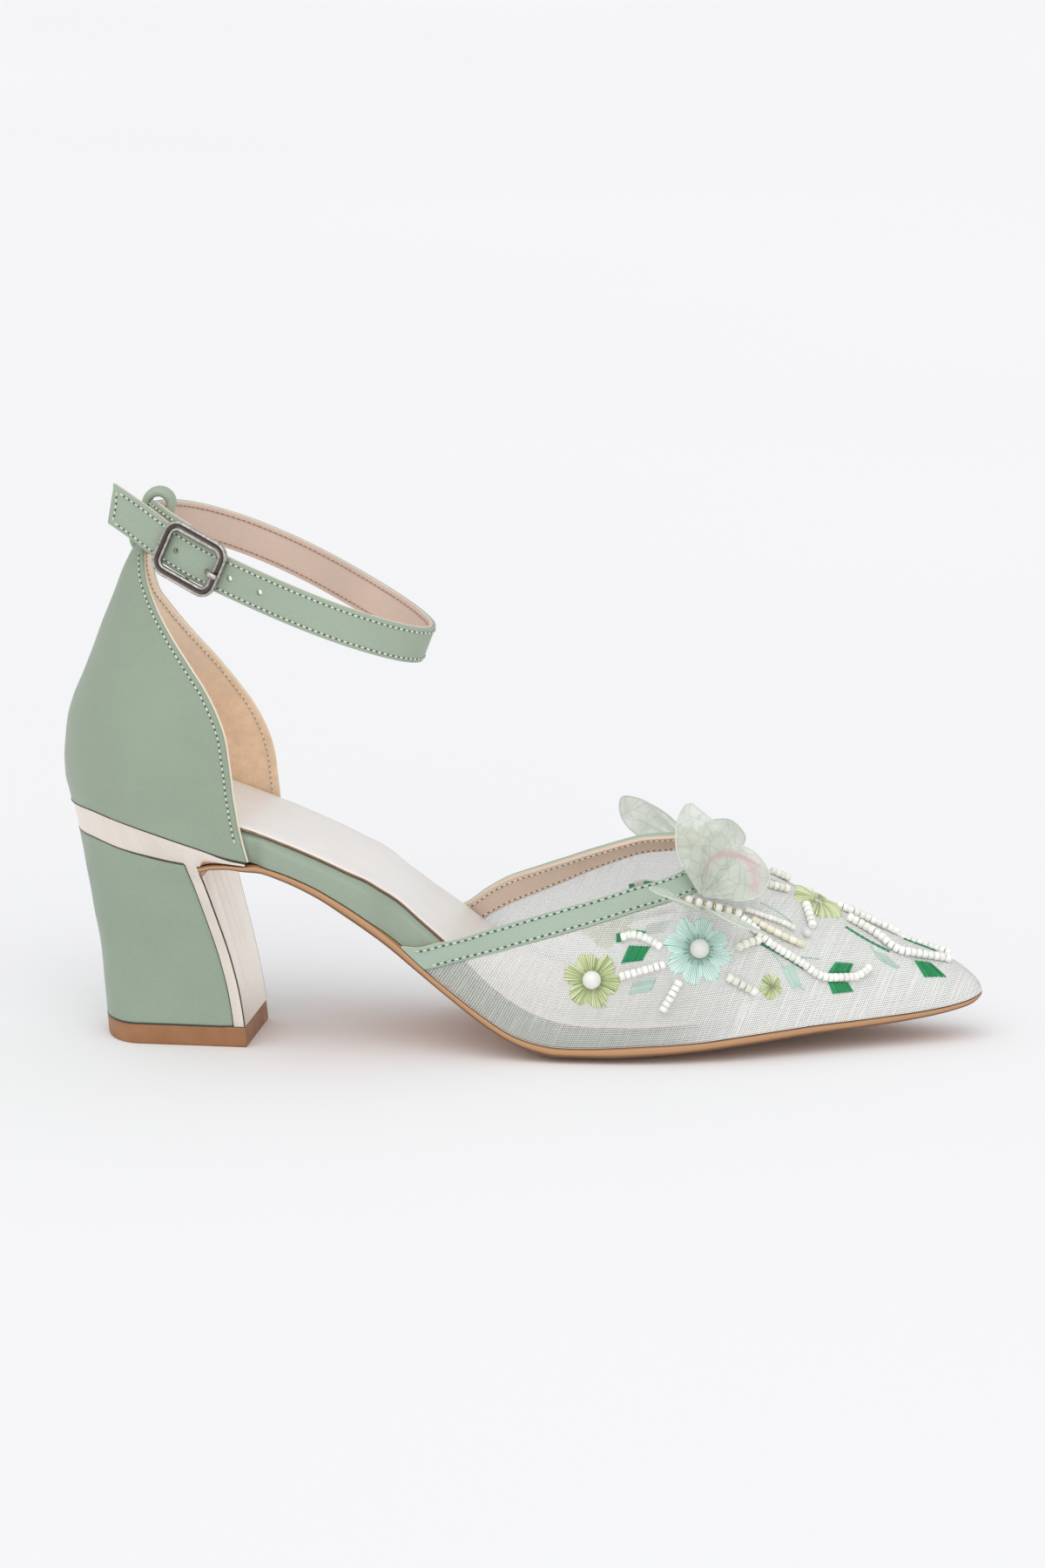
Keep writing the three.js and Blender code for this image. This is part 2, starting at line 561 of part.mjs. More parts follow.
// seat plate and breast panel of the metal frame, one piece
const SEAT_STATIONS = [0, 0.02, 0.06, 0.13, 0.22, 0.34, 0.48, 0.62, 0.745, 0.79, 0.86, 0.93, 1];
const SEAT_ACROSS = [-1, -0.5, 0, 0.5, 1];
const seatGrid = (top) => SEAT_STATIONS.map((s) => SEAT_ACROSS.map((t) => {
  // the top follows the feather line, the lower ring the heel below it
  const zMid = top ? 61 : 54.5;
  const back = heelBack(zMid) + 0.02, b = heelHalf(zMid), a = heelRound(zMid);
  const x = lerp(back, 51.6, s);
  const z = top ? feather(x) : seatUnder(x);
  const bb = heelHalf(Math.max(z, 49));
  return V(x, lerp(heelTwist(x, z), centre(x), smooth(30, 40, x)) + t * lerp(bb, half(50), smooth(36, 50, x)) * round((x - back) / a), z);
}));
const seat = solid(wall(seatGrid(true), seatGrid(false)));
const panelRings = range(0, 1, 7).map((s) => {
  const z = lerp(TOP_PIECE + GAP, 51, s);
  const b = heelHalf(z) * round((heelBreast(z) - heelBack(z)) / heelRound(z));
  const f = heelBreast(z), r = f - BREAST_METAL;
  const corner = (x0, sign) => {
    const x = x0 + 0.065 * sign * b;
    return V(x, heelTwist(x, z) + sign * b, z);
  };
  return [corner(r, -1), corner(f, -1), corner(f, 1), corner(r, 1)];
});
const panel = solid(loft(panelRings));
add("heel_frame", geometryOf(seat.add(panel)), 0xd9cfc4, 0.3, 0.9);

// ---------- ankle strap, loop and buckle ----------
const rad = Math.PI / 180;
const strapUp = V(Math.sin(STRAP_PITCH * rad), -Math.sin(STRAP_ROLL * rad), Math.cos(STRAP_PITCH * rad)).normalize();
const ringZ = (x, y) => RING_PLANE.z -
  (strapUp.x * (x - RING_PLANE.x) + strapUp.y * (y - RING_PLANE.y)) / strapUp.z;
const ringCurve = new THREE.CatmullRomCurve3(
  RING.rows.map(([x, y], i) => V(x, y, ringZ(x, y) + (i > 18 ? STRAP_END_RISE * smooth(38, 10, x) : 0))),
  false, "centripetal");
const STRAP_STEPS = 66;
const strapAt = (u) => {
  const p = ringCurve.getPointAt(u), along = ringCurve.getTangentAt(u);
  const out = along.clone().cross(strapUp).normalize();
  return { p, along, out, up: out.clone().cross(along).normalize() };
};
const strapGrid = (side) => range(0, 1, STRAP_STEPS).map((u) => {
  const { p, out, up } = strapAt(u);
  return [-1, 1].map((t) => p.clone().addScaledVector(up, (t * STRAP.wide) / 2)
    .addScaledVector(out, (side * STRAP.thick) / 2));
});
add("ankle_strap", wall(strapGrid(1), strapGrid(-1)).geometry(), 0x9dac98);

// loop above the neck of the counter, the strap runs through it
const LOOP = { x: 24.1, wide: 6.6, middle: -2.6, thick: 1.5, gapX: 5.0, gapUp: 14.6, rise: 1.3 };
const loopMid = V(LOOP.x, LOOP.middle, ringZ(LOOP.x, LOOP.middle))
  .addScaledVector(V(strapUp.x, 0, strapUp.z).normalize(), LOOP.rise);
const loopSide = V(strapUp.z, 0, -strapUp.x);
const loopRing = (grow, y) => {
  const ring = [], r = Math.min(LOOP.gapX / 2 + grow, LOOP.gapX / 2 + grow);
  const straight = LOOP.gapUp / 2 + grow - r;
  for (const k of range(0, 23, 23)) {
    const a = (k / 24) * 2 * Math.PI;
    const u = r * Math.cos(a), v = r * Math.sin(a) + Math.sign(Math.sin(a)) * straight;
    ring.push(loopMid.clone().addScaledVector(loopSide, u)
      .addScaledVector(V(strapUp.x, 0, strapUp.z).normalize(), v).add(V(0, y, 0)));
  }
  return ring;
};
{
  const ys = [-LOOP.wide / 2, LOOP.wide / 2];
  const section = [[LOOP.thick, ys[0]], [LOOP.thick, ys[1]], [0, ys[1]], [0, ys[0]]];
  const rings = section.map(([g, y]) => loopRing(g, y));
  add("strap_loop", hoop(rings).geometry(), 0x9dac98);
}

// buckle: frame over the strap, bar under it between the two layers
// the point of the outer layer at this x
const BUCKLE_X = 37.4;
const buckleU = range(0.8, 0.99, 380).reduce((a, b) =>
  (Math.abs(ringCurve.getPointAt(a).x - BUCKLE_X) < Math.abs(ringCurve.getPointAt(b).x - BUCKLE_X) ? a : b));
const buckleAt = strapAt(buckleU);
const local = (along, up, out) => buckleAt.p.clone()
  .addScaledVector(buckleAt.along, along).addScaledVector(buckleAt.up, up)
  .addScaledVector(buckleAt.out, out);
const tubeRing = (mid, tangent, radius, sides = 8) => {
  const n1 = buckleAt.out.clone().addScaledVector(tangent, -buckleAt.out.dot(tangent)).normalize();
  const n2 = tangent.clone().cross(n1).normalize();
  return range(0, sides - 1, sides - 1).map((k) => {
    const a = (k / sides) * 2 * Math.PI;
    return mid.clone().addScaledVector(n1, radius * Math.cos(a)).addScaledVector(n2, radius * Math.sin(a));
  });
};
const outSign = buckleAt.out.y < 0 ? 1 : -1; // towards the outer side
const LIFT = STRAP.thick / 2 + 0.4 + BUCKLE.bar / 2;
function framePath() {
  const a = (BUCKLE.long - BUCKLE.bar) / 2, b = (BUCKLE.wide - BUCKLE.bar) / 2, r = BUCKLE.corner - BUCKLE.bar / 2;
  const pts = [];
  for (const [sx, sy, from] of [[1, 1, 0], [-1, 1, 90], [-1, -1, 180], [1, -1, 270]])
    for (const k of range(0, 90, 5)) {
      const t = (from + k) * rad;
      pts.push([sx * (a - r) + r * Math.cos(t), sy * (b - r) + r * Math.sin(t)]);
    }
  return pts;
}
const path = framePath();
const frameRings = path.map(([u, v], i) => {
  const q = path[(i + 1) % path.length], o = path[(i + path.length - 1) % path.length];
  const t = local(q[0], q[1], 0).sub(local(o[0], o[1], 0)).normalize();
  return tubeRing(local(u, v, outSign * LIFT), t, BUCKLE.bar / 2);
});
const sweep = (pts, radius, sides = 8) => loft(pts.map((p, i) => {
  const t = pts[Math.min(i + 1, pts.length - 1)].clone().sub(pts[Math.max(i - 1, 0)]).normalize();
  const ref = buckleAt.along;
  const n1 = ref.clone().addScaledVector(t, -ref.dot(t)).normalize(), n2 = t.clone().cross(n1);
  const r = Array.isArray(radius) ? radius[i] : radius;
  return range(0, sides - 1, sides - 1).map((k) => {
    const a = (k / sides) * 2 * Math.PI;
    return p.clone().addScaledVector(n1, r * Math.cos(a)).addScaledVector(n2, r * Math.sin(a));
  });
}));
const barLow = -(STRAP.thick / 2 + 0.25 + 0.6), barSide = STRAP.wide / 2 + 1.2;
const barPath = [[barSide, LIFT], [barSide, 0.6], [barSide, barLow + 0.5], [barSide - 0.5, barLow],
  [0, barLow], [-barSide + 0.5, barLow], [-barSide, barLow + 0.5], [-barSide, 0.6], [-barSide, LIFT]]
  .map(([v, o]) => local(0, v, outSign * o));
const frame = solid(hoop(frameRings)).add(solid(sweep(barPath, 0.55)));
add("buckle_frame", geometryOf(frame), 0xb9b6b2, 0.3, 0.9);
const over = LIFT + BUCKLE.bar / 2 + 0.25 + 0.6;
add("buckle_prong", (() => {
  const pts = [[-4.9, STRAP.thick / 2 + 0.95], [-6.3, STRAP.thick / 2 + 1.8], [-7.5, over - 0.1], [-8.6, over], [-9.8, over - 0.3]]
    .map(([u, o]) => local(u, -0.6, outSign * o));
  return loftUp(pts, [0.6, 0.65, 0.65, 0.62, 0.4]);
})().geometry(), 0xc9c6c2, 0.3, 0.9);
function loftUp(pts, radii) {
  return loft(pts.map((p, i) => {
    const t = pts[Math.min(i + 1, pts.length - 1)].clone().sub(pts[Math.max(i - 1, 0)]).normalize();
    const ref = buckleAt.up;
    const n1 = ref.clone().addScaledVector(t, -ref.dot(t)).normalize(), n2 = t.clone().cross(n1);
    return range(0, 7, 7).map((k) => {
      const a = (k / 8) * 2 * Math.PI;
      return p.clone().addScaledVector(n1, radii[i] * Math.cos(a)).addScaledVector(n2, radii[i] * Math.sin(a));
    });
  }));
}

// ---------- butterflies ----------
// a pair of organza lobes: a thin plate from its root, curled outwards a little
function wing(name, root, toe, up, table, curl) {
  const e1 = toe.clone().normalize();
  const e2 = up.clone().addScaledVector(e1, -up.dot(e1)).normalize();
  const n = e1.clone().cross(e2);
  const reach = curve(table, "reach"), turns = column(table, "turn");
  const grid = (side) => range(turns[0], turns[turns.length - 1], 20).map((t) =>
    [0, 0.3, 0.65, 1].map((s) => {
      const r = reach(t) * s, a = t * rad;
      return root.clone().addScaledVector(e1, r * Math.cos(a)).addScaledVector(e2, r * Math.sin(a))
        .addScaledVector(n, curl * s * s + (side * WING_THICK) / 2);
    }));
  add(name, wall(grid(1), grid(-1)).geometry(), 0xd3dccf, 0.8);
}
wing("wing_upright", V(169.5, -20.8, 43.4), V(0.97, 0, -0.24), V(0, 0.42, 0.9), WING_UPRIGHT, 1.5);
wing("wing_flat", V(169.5, -24.4, 39.9), V(0.92, 0, -0.39), V(0, -0.99, 0.12), WING_FLAT, -1.0);
wing("wing_medial", V(166, 27.2, 43.6), V(1, 0, 0), V(0, 0.06, 1), WING_MEDIAL, 0.8);
// the beads sewn over the wings hold them, a body of joined beads
function beads(name, turn, from, to) {
  const count = 5, steps = count * 4;
  const pts = range(from, to, steps).map((x) => offLast(x, turn, BEAD + GAP + 0.35));
  const radii = pts.map((_, i) => BEAD * Math.max(0.42, Math.abs(Math.sin((Math.PI * i * count) / steps))));
  add(name, loft(pts.map((p, i) => {
    const t = pts[Math.min(i + 1, steps)].clone().sub(pts[Math.max(i - 1, 0)]).normalize();
    const n1 = V(0, 0, 1).addScaledVector(t, -t.z).normalize(), n2 = t.clone().cross(n1);
    return range(0, 7, 7).map((k) => {
      const a = (k / 8) * 2 * Math.PI;
      return p.clone().addScaledVector(n1, radii[i] * Math.cos(a)).addScaledVector(n2, radii[i] * Math.sin(a));
    });
  })).geometry(), 0xe9e6dc, 0.3);
}
beads("butterfly_body", 46.5, 165.8, 178.5);
beads("butterfly_body_medial", 133, 162, 174);

// ---------- frame of the object ----------
group.position.set(-ORIGIN.x, -ORIGIN.y, 0);
group.updateMatrixWorld(true);
export default group;
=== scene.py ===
import math

import bmesh
import bpy
import numpy as np
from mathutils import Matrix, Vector


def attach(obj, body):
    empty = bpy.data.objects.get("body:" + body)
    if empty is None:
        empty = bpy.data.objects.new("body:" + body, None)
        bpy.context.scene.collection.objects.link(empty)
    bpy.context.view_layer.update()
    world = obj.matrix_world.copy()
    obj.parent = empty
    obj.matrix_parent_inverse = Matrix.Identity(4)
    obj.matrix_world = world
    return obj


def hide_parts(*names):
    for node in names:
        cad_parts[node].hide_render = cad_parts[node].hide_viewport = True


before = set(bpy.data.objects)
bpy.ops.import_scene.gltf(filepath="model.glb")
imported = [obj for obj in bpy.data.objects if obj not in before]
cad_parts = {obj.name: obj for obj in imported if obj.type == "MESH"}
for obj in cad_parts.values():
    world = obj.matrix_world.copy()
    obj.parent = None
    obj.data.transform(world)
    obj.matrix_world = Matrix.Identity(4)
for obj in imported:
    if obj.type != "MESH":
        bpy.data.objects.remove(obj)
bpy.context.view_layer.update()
rng = np.random.default_rng(11)

# ---------------------------------------------------------------- camera
cam = bpy.data.objects.new("camera", bpy.data.cameras.new("camera"))
bpy.context.scene.collection.objects.link(cam)
cam.data.lens = 129.49
cam.data.sensor_width = 36
cam.data.clip_start, cam.data.clip_end = 0.05, 60
cam.location = (0.10977, -1.44674, 0.372)
cam.rotation_mode = "QUATERNION"
cam.rotation_quaternion = (Vector((-0.00036, 0.00326, 0.06671)) - cam.location).to_track_quat("-Z", "Y")
bpy.context.scene.camera = cam


# ---------------------------------------------------------------- curves
def curve_of(xs, ys):
    xs, ys = np.asarray(xs, float), np.asarray(ys, float)
    h, m = np.diff(xs), np.zeros(len(xs))
    d = np.diff(ys) / h
    m[0], m[-1] = d[0], d[-1]
    for i in range(1, len(xs) - 1):
        if d[i - 1] * d[i] > 0:
            a, b = 2 * h[i] + h[i - 1], h[i] + 2 * h[i - 1]
            m[i] = (a + b) / (a / d[i - 1] + b / d[i])

    def f(x):
        x = np.clip(np.asarray(x, float), xs[0], xs[-1])
        i = np.clip(np.searchsorted(xs, x, side="right") - 1, 0, len(xs) - 2)
        t = (x - xs[i]) / h[i]
        t2, t3 = t * t, t * t * t
        return (2 * t3 - 3 * t2 + 1) * ys[i] + (t3 - 2 * t2 + t) * h[i] * m[i] + \
            (-2 * t3 + 3 * t2) * ys[i + 1] + (t3 - t2) * h[i] * m[i + 1]
    return f


def rooted(xs, ys):
    f = curve_of(xs, np.asarray(ys, float) ** 2)
    return lambda x: np.sqrt(np.maximum(f(x), 0))


PLAN = [[0, -3, 0], [2, -3.2, 8.4], [9, -3.9, 16.8], [18, -4.9, 22.0], [27, -5.7, 24.6], [36, -6.5, 25.4],
        [50, -7.6, 25.3], [62, -7.5, 25], [75, -7.2, 24.8], [88, -6.2, 25.3], [100, -5, 27.2], [112, -3.7, 29.9],
        [125, -2.4, 32.6], [138, -1.3, 34.4], [150, -0.5, 35], [160, -0.1, 34.6], [170, 0.4, 33], [180, 0.8, 30.3],
        [190, 1.2, 26.6], [200, 1.6, 22.2], [210, 2, 17.9], [220, 2.35, 13.7], [230, 2.65, 9.7], [236, 2.85, 7.2],
        [240, 2.95, 5.1], [242, 3, 3.0], [243, 3, 0]]
FEATHER = [[0, 62.1], [9, 61.9], [18, 60.2], [28, 57.8], [37.5, 55.0], [46.5, 52.1], [52, 51], [56, 50.1],
           [60.5, 48.7], [65, 46.9], [69.5, 44.8], [74, 42.2], [78.5, 39.4], [83, 36.3], [87.5, 32.9], [92, 29.1],
           [96.6, 24.9], [101, 21.1], [105.7, 17.4], [110.3, 13.9], [115, 10.6], [119.4, 7.8], [124, 5.8],
           [128.6, 4.6], [133, 4.0], [138, 3.9], [147, 4.2], [156, 4.7], [169, 5.3], [182.6, 6.5], [200, 7.6],
           [210, 7.9], [223, 8.5], [232, 9.3], [237, 10.1], [241, 11.2], [243, 12]]
OUTSOLE = [[39.7, 4.7, 48.7, 48.7], [42.6, 2.9, 49.4, 49.4], [47, 1.4, 49.5, 49.6], [51, 0.9, 49.0, 49.1],
           [55, 0, 48.5, 48.8], [60.5, 0, 46.6, 47.0], [69.5, 0, 42.2, 42.7], [78.5, 0, 36.2, 36.8],
           [87.5, 0, 29.7, 30.3], [96.6, 0, 22.0, 22.8], [105.7, 0, 14.7, 15.5], [115, 0, 7.7, 8.7],
           [119.4, 0, 4.8, 6.1], [124, 0, 2.3, 4.0], [128.5, 0, 0.7, 2.7], [132.5, 0, 0, 2.0], [147, 0, 0, 1.9],
           [150, 0, 0.25, 2.0], [157, 0, 1.0, 2.4], [169, 0, 2.2, 3.2], [182.6, 0, 3.6, 4.4], [200, 0, 5.1, 5.7],
           [218, 0, 6.0, 6.5], [228, 0, 7.0, 7.4], [237, 0, 8.6, 8.9], [241, 0, 9.9, 10.1], [243, 0, 11.4, 11.5]]
SOCK = [[0, 73], [10, 72], [25, 68.8], [40, 64.4], [50, 61], [55.6, 59.1], [64.6, 55.4], [73.6, 51.4], [78, 49.2],
        [83, 46.8], [87, 44], [92, 40.2], [96.3, 36.5], [101.2, 32.5], [105.3, 29.0], [110, 24.6], [116, 19.4],
        [122, 15.3], [128, 12.5], [134, 10.8], [142, 9.9], [150, 9.8], [165, 10.4], [180, 11.4], [200, 12.7],
        [220, 13.6], [238, 14.8]]
RISE = [[88, 36], [96, 41], [104, 44.5], [112, 47], [123, 49.5], [138, 52], [150, 53], [160, 50.8], [168, 47.3],
        [178.7, 41.5], [186, 36.6], [195, 30.9], [202, 27.1], [213, 21.6], [225, 15.9], [232, 12.6], [236.5, 9.7],
        [239, 7.3], [241.2, 4.6], [242.4, 2.4], [243, 0]]
LEAN = [[88, 0], [140, 1.5], [168, 3.5], [200, 3.0], [230, 1.0], [243, 0]]
TOPLINE = [[92, 0], [96.5, 5.6], [101, 12.2], [105.6, 17.9], [110, 23.4], [114.5, 29], [123.5, 37.8], [132.4, 42.6],
           [141.4, 45.2], [150.3, 48], [159.2, 53.2], [164.7, 59.8], [167.6, 68], [168.6, 80], [168.2, 92],
           [166.5, 103], [163.5, 111.5], [157.2, 119.3], [147.8, 124.5], [138.5, 128], [129.2, 132.8],
           [119.7, 141.2], [110.2, 155.5], [105.1, 165], [99, 174], [95, 180]]
LOWER = [[98.3, 0], [101, 3.7], [105.7, 10], [110.2, 15.6], [114.7, 20.7], [123.7, 29.3], [132.7, 33.9],
         [141.6, 36.5], [150.6, 39.2], [159.5, 43.9], [166.8, 50], [171.8, 59.5], [174.4, 72], [174.9, 85],
         [174, 98], [171.5, 109.5], [167, 119.5], [159, 127.6], [149, 132.6], [139.5, 136.8], [130, 142.5],
         [120.5, 151], [112.5, 162], [106.5, 172], [102, 180]]
COUNTER = [[48, 3.6, 24.8, 53.2, 56, 0], [55, 3.0, 25.2, 51.2, 55.2, 0], [61.4, 2.3, 25.4, 49.8, 54.6, 0],
           [65.4, 1.4, 25.7, 49.2, 54.1, 0], [69, 0.6, 26.0, 48.7, 53.7, 0], [74, 0.4, 26.3, 48.2, 52.6, 0],
           [79, 0.8, 26.5, 47.6, 50.6, 0], [84, 1.4, 26.6, 46.9, 47.8, 0], [90, 3.1, 26.3, 44.9, 43.4, 0],
           [96, 5.7, 25.5, 41.9, 38.6, 0], [103, 8.5, 24.3, 37.0, 32.7, 0.1], [110, 11.1, 22.9, 31.8, 27.7, 0.4],
           [117, 14.0, 21.5, 27.2, 23.9, 0.8], [124, 16.7, 20.5, 24.0, 22.9, 1.2], [131, 20.2, 19.6, 22.9, 23.4, 1.6]]
HEEL = [[0, 11.8, 51.6, 15.5, 10], [5.3, 11.4, 51.1, 15.4, 10], [14, 10.7, 49.8, 15.2, 11],
        [23.4, 9.9, 47.7, 15.7, 13], [33, 8.2, 45.0, 17.2, 17], [39, 7.2, 43.2, 18.6, 20],
        [44.7, 6.0, 41.5, 20.4, 24], [49, 5.2, 40.2, 22.4, 28], [54.4, 4.1, 38.9, 24.2, 32], [62, 2.4, 38, 25.4, 34]]
SEAT = [[0, 7.2], [18, 7.1], [28, 6.5], [35, 5.6], [38.8, 5.0], [40.5, 3.6], [42.6, 2.3], [47, 0.9], [52, 0.45]]
RING = [[34.4, -16.7], [28.6, -13.4], [24.9, -9.3], [23.4, -4], [23.5, 2], [25.4, 9], [29.6, 15.6], [36.5, 20.9],
        [46, 23.7], [56, 23.0], [66, 19.6], [76, 13.8], [86, 6.2], [92.6, -0.8], [96.6, -8], [96.8, -14.6],
        [93.2, -20], [86, -24.3], [76, -27.1], [66, -27.4], [56, -26.1], [46, -23.7], [38, -21.1], [30, -18.0],
        [22, -14.9], [13.6, -11.9]]
WING_UPRIGHT = [[4, 8], [11, 13.8], [24, 17.5], [32, 18.6], [42, 18.5], [54, 18], [64, 17], [73, 15.7], [79, 17],
                [87.6, 18.6], [95.5, 20.2], [106.8, 23.5], [110, 24.7], [113, 24.6], [117, 23.1], [121, 21],
                [126.5, 17.5], [133, 13], [137, 8.7]]
WING_FLAT = [[4, 7], [20, 17], [33, 21], [45, 20.5], [60, 17], [75, 13], [90, 12.5], [105, 15], [118, 19],
             [130, 21], [140, 19], [152, 11]]
WING_MEDIAL = [[3, 9], [8.5, 12.8], [18, 13.8], [30, 13.3], [42, 12.4], [60, 9.7], [90, 6], [115, 7], [125, 9.5],
               [129, 13], [134, 17], [138, 20.8], [145, 24.5], [152, 23.3], [164, 17.5], [172, 8]]


def columns(rows, *picks):
    a = np.array(rows, float)
    return [curve_of(a[:, 0], a[:, i]) for i in picks]


def root_column(rows, i):
    a = np.array(rows, float)
    return rooted(a[:, 0], a[:, i])


centre, = columns(PLAN, 1)
half = root_column(PLAN, 2)
feather, = columns(FEATHER, 1)
sole_drop, sole_middle, sole_edge = columns(OUTSOLE, 1, 2, 3)
sock_z, = columns(SOCK, 1)
rise = root_column(RISE, 1)
lean, = columns(LEAN, 1)
seat_deep, = columns(SEAT, 1)
c_back, c_half, c_near, c_far, c_shift = columns(COUNTER, 1, 2, 3, 4, 5)
h_back, h_breast, h_half, h_round = columns(HEEL, 1, 2, 3, 4)
GAP = 0.3


def lerp(a, b, t):
    return a + (b - a) * t


def smooth(a, b, x):
    t = np.clip((np.asarray(x, float) - a) / (b - a), 0, 1)
    return t * t * (3 - 2 * t)


def arc(s):
    return np.sqrt(1 - (1 - np.clip(s, 0, 1)) ** 2)


def unit(v):
    return v / np.maximum(np.linalg.norm(v, axis=-1, keepdims=True), 1e-9)


def bump_at(d, r):
    """How far a rounded edge of radius r has fallen at a distance d from the edge."""
    d = np.clip(d, 0, r)
    return r - np.sqrt(np.maximum(r * r - (r - d) ** 2, 0))


def last(x, turn):
    x, turn = np.broadcast_arrays(np.asarray(x, float), np.asarray(turn, float))
    t = np.radians(turn)
    h = half(x)
    h = h * (1 - 0.4 / np.maximum(h, 8))
    return np.stack([x, centre(x) - h * np.cos(t) + lean(x) * np.sin(t) ** 2,
                     feather(x) + GAP + (rise(x) - GAP) * np.sin(t)], -1)


def last_normal(x, turn):
    a = last(np.minimum(x + 0.2, 242.9), turn) - last(x - 0.2, turn)
    b = last(x, np.minimum(turn + 0.5, 180)) - last(x, np.maximum(turn - 0.5, 0))
    return unit(-np.cross(b, a))


def off_last(x, turn, d):
    x, turn, d = np.broadcast_arrays(*(np.asarray(v, float) for v in (x, turn, d)))
    n = last_normal(np.minimum(x, 242.95), turn)
    flat = (turn < 1e-6) | (turn > 180 - 1e-6)
    n = np.where(flat[..., None], n * [1, 1, 0], n)
    tip = x > 242.95
    n = np.where(tip[..., None], np.array([1.0, 0, 0]), n)
    return last(np.minimum(x, 243), turn) + n * d[..., None]


# ---------------------------------------------------------------- meshes
def to_row(p):
    return (np.asarray(p, float).reshape(-1, 3) - [121.73, -3.26, 0]) / 1000


def make(name, verts, faces, mat, slot, attrs=None, replaces=(), sharp=38, weld=True, mats=None, face_mat=None):
    me = bpy.data.meshes.new(name)
    me.from_pydata(to_row(verts).tolist(), [], faces)
    for key, values in (attrs or {}).items():
        a = me.attributes.new(key, "FLOAT", "POINT")
        a.data.foreach_set("value", np.asarray(values, np.float32).ravel())
    me.materials.append(mat)
    for extra in mats or []:
        me.materials.append(extra)
    if face_mat is not None:
        me.polygons.foreach_set("material_index", np.asarray(face_mat, np.int32))
    bm = bmesh.new()
    bm.from_mesh(me)
    if weld:
        bmesh.ops.remove_doubles(bm, verts=bm.verts, dist=2e-6)
        bmesh.ops.dissolve_degenerate(bm, dist=1e-6, edges=bm.edges)
    bmesh.ops.recalc_face_normals(bm, faces=bm.faces)
    bm.to_mesh(me)
    bm.free()
    me.polygons.foreach_set("use_smooth", [True] * len(me.polygons))
    me.set_sharp_from_angle(angle=math.radians(sharp))
    o = bpy.data.objects.new(name, me)
    bpy.context.scene.collection.objects.link(o)
    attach(o, "root")
    if replaces:
        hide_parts(*replaces)
    return o


def grid_faces(n, m, start=0, flip=False):
    idx = start + np.arange(n * m).reshape(n, m)
    q = np.stack([idx[:-1, :-1], idx[1:, :-1], idx[1:, 1:], idx[:-1, 1:]], -1).reshape(-1, 4)
    return (q[:, ::-1] if flip else q).tolist()


def wall(outer, inner):
    """Vertices and faces between two grids of points, closed round the rim."""
    n, m = outer.shape[:2]
    k = n * m
    faces = grid_faces(n, m) + grid_faces(n, m, k, True)
    i = np.arange(k).reshape(n, m)
    for line, rev in ((i[0], False), (i[-1], True), (i[:, 0], True), (i[:, -1], False)):
        for a, b in zip(line[:-1], line[1:]):
            f = [a, b, b + k, a + k]
            faces.append([int(v) for v in (f[::-1] if rev else f)])
    return np.concatenate([outer.reshape(-1, 3), inner.reshape(-1, 3)]), faces


def rings_faces(n, k, loop=False, caps=True, start=0):
    idx = start + np.arange(n * k).reshape(n, k)
    a, b = (idx, np.roll(idx, -1, 0)) if loop else (idx[:-1], idx[1:])
    faces = np.stack([a, np.roll(a, -1, 1), np.roll(b, -1, 1), b], -1).reshape(-1, 4).tolist()
    if caps and not loop:
        faces += [idx[0][::-1].tolist(), idx[-1].tolist()]
    return faces


def slab(d0, d1, r, m=8, q=4, e0=0.0, e1=0.0):
    """Closed outline of a layer between heights d0 and d1: (share across, mm added, height)."""
    r = min(r, (d1 - d0) / 2)
    out = []
    half_pi = math.pi / 2
    for a in np.linspace(math.pi, half_pi, q + 1):
        out.append((0, r + r * math.cos(a) - e0, d1 - r + r * math.sin(a)))
    for f in np.linspace(0, 1, m + 1)[1:-1]:
        out.append((f, r * (1 - 2 * f), d1))
    for a in np.linspace(half_pi, 0, q + 1):
        out.append((1, -r + r * math.cos(a) + e1, d1 - r + r * math.sin(a)))
    for a in np.linspace(0, -half_pi, q + 1):
        out.append((1, -r + r * math.cos(a) + e1, d0 + r + r * math.sin(a)))
    for f in np.linspace(1, 0, m + 1)[1:-1]:
        out.append((f, r * (1 - 2 * f), d0))
    for a in np.linspace(-half_pi, -math.pi, q + 1):
        out.append((0, r + r * math.cos(a) - e0, d0 + r + r * math.sin(a)))
    return np.array(out)


def resample(path, step=None, count=None):
    """Points evenly along a path, with their places on it as shares of its points."""
    path = np.asarray(path, float)
    at = np.concatenate([[0], np.cumsum(np.linalg.norm(np.diff(path, axis=0), axis=1))])
    n = count if count else max(int(round(at[-1] / step)), 1)
    d = np.linspace(0, at[-1], n + 1)
    return np.stack([np.interp(d, at, path[:, i]) for i in range(3)], -1), np.interp(d, at, np.arange(len(path)))


def tangents(path):
    t = np.gradient(path, axis=0)
    return unit(t)


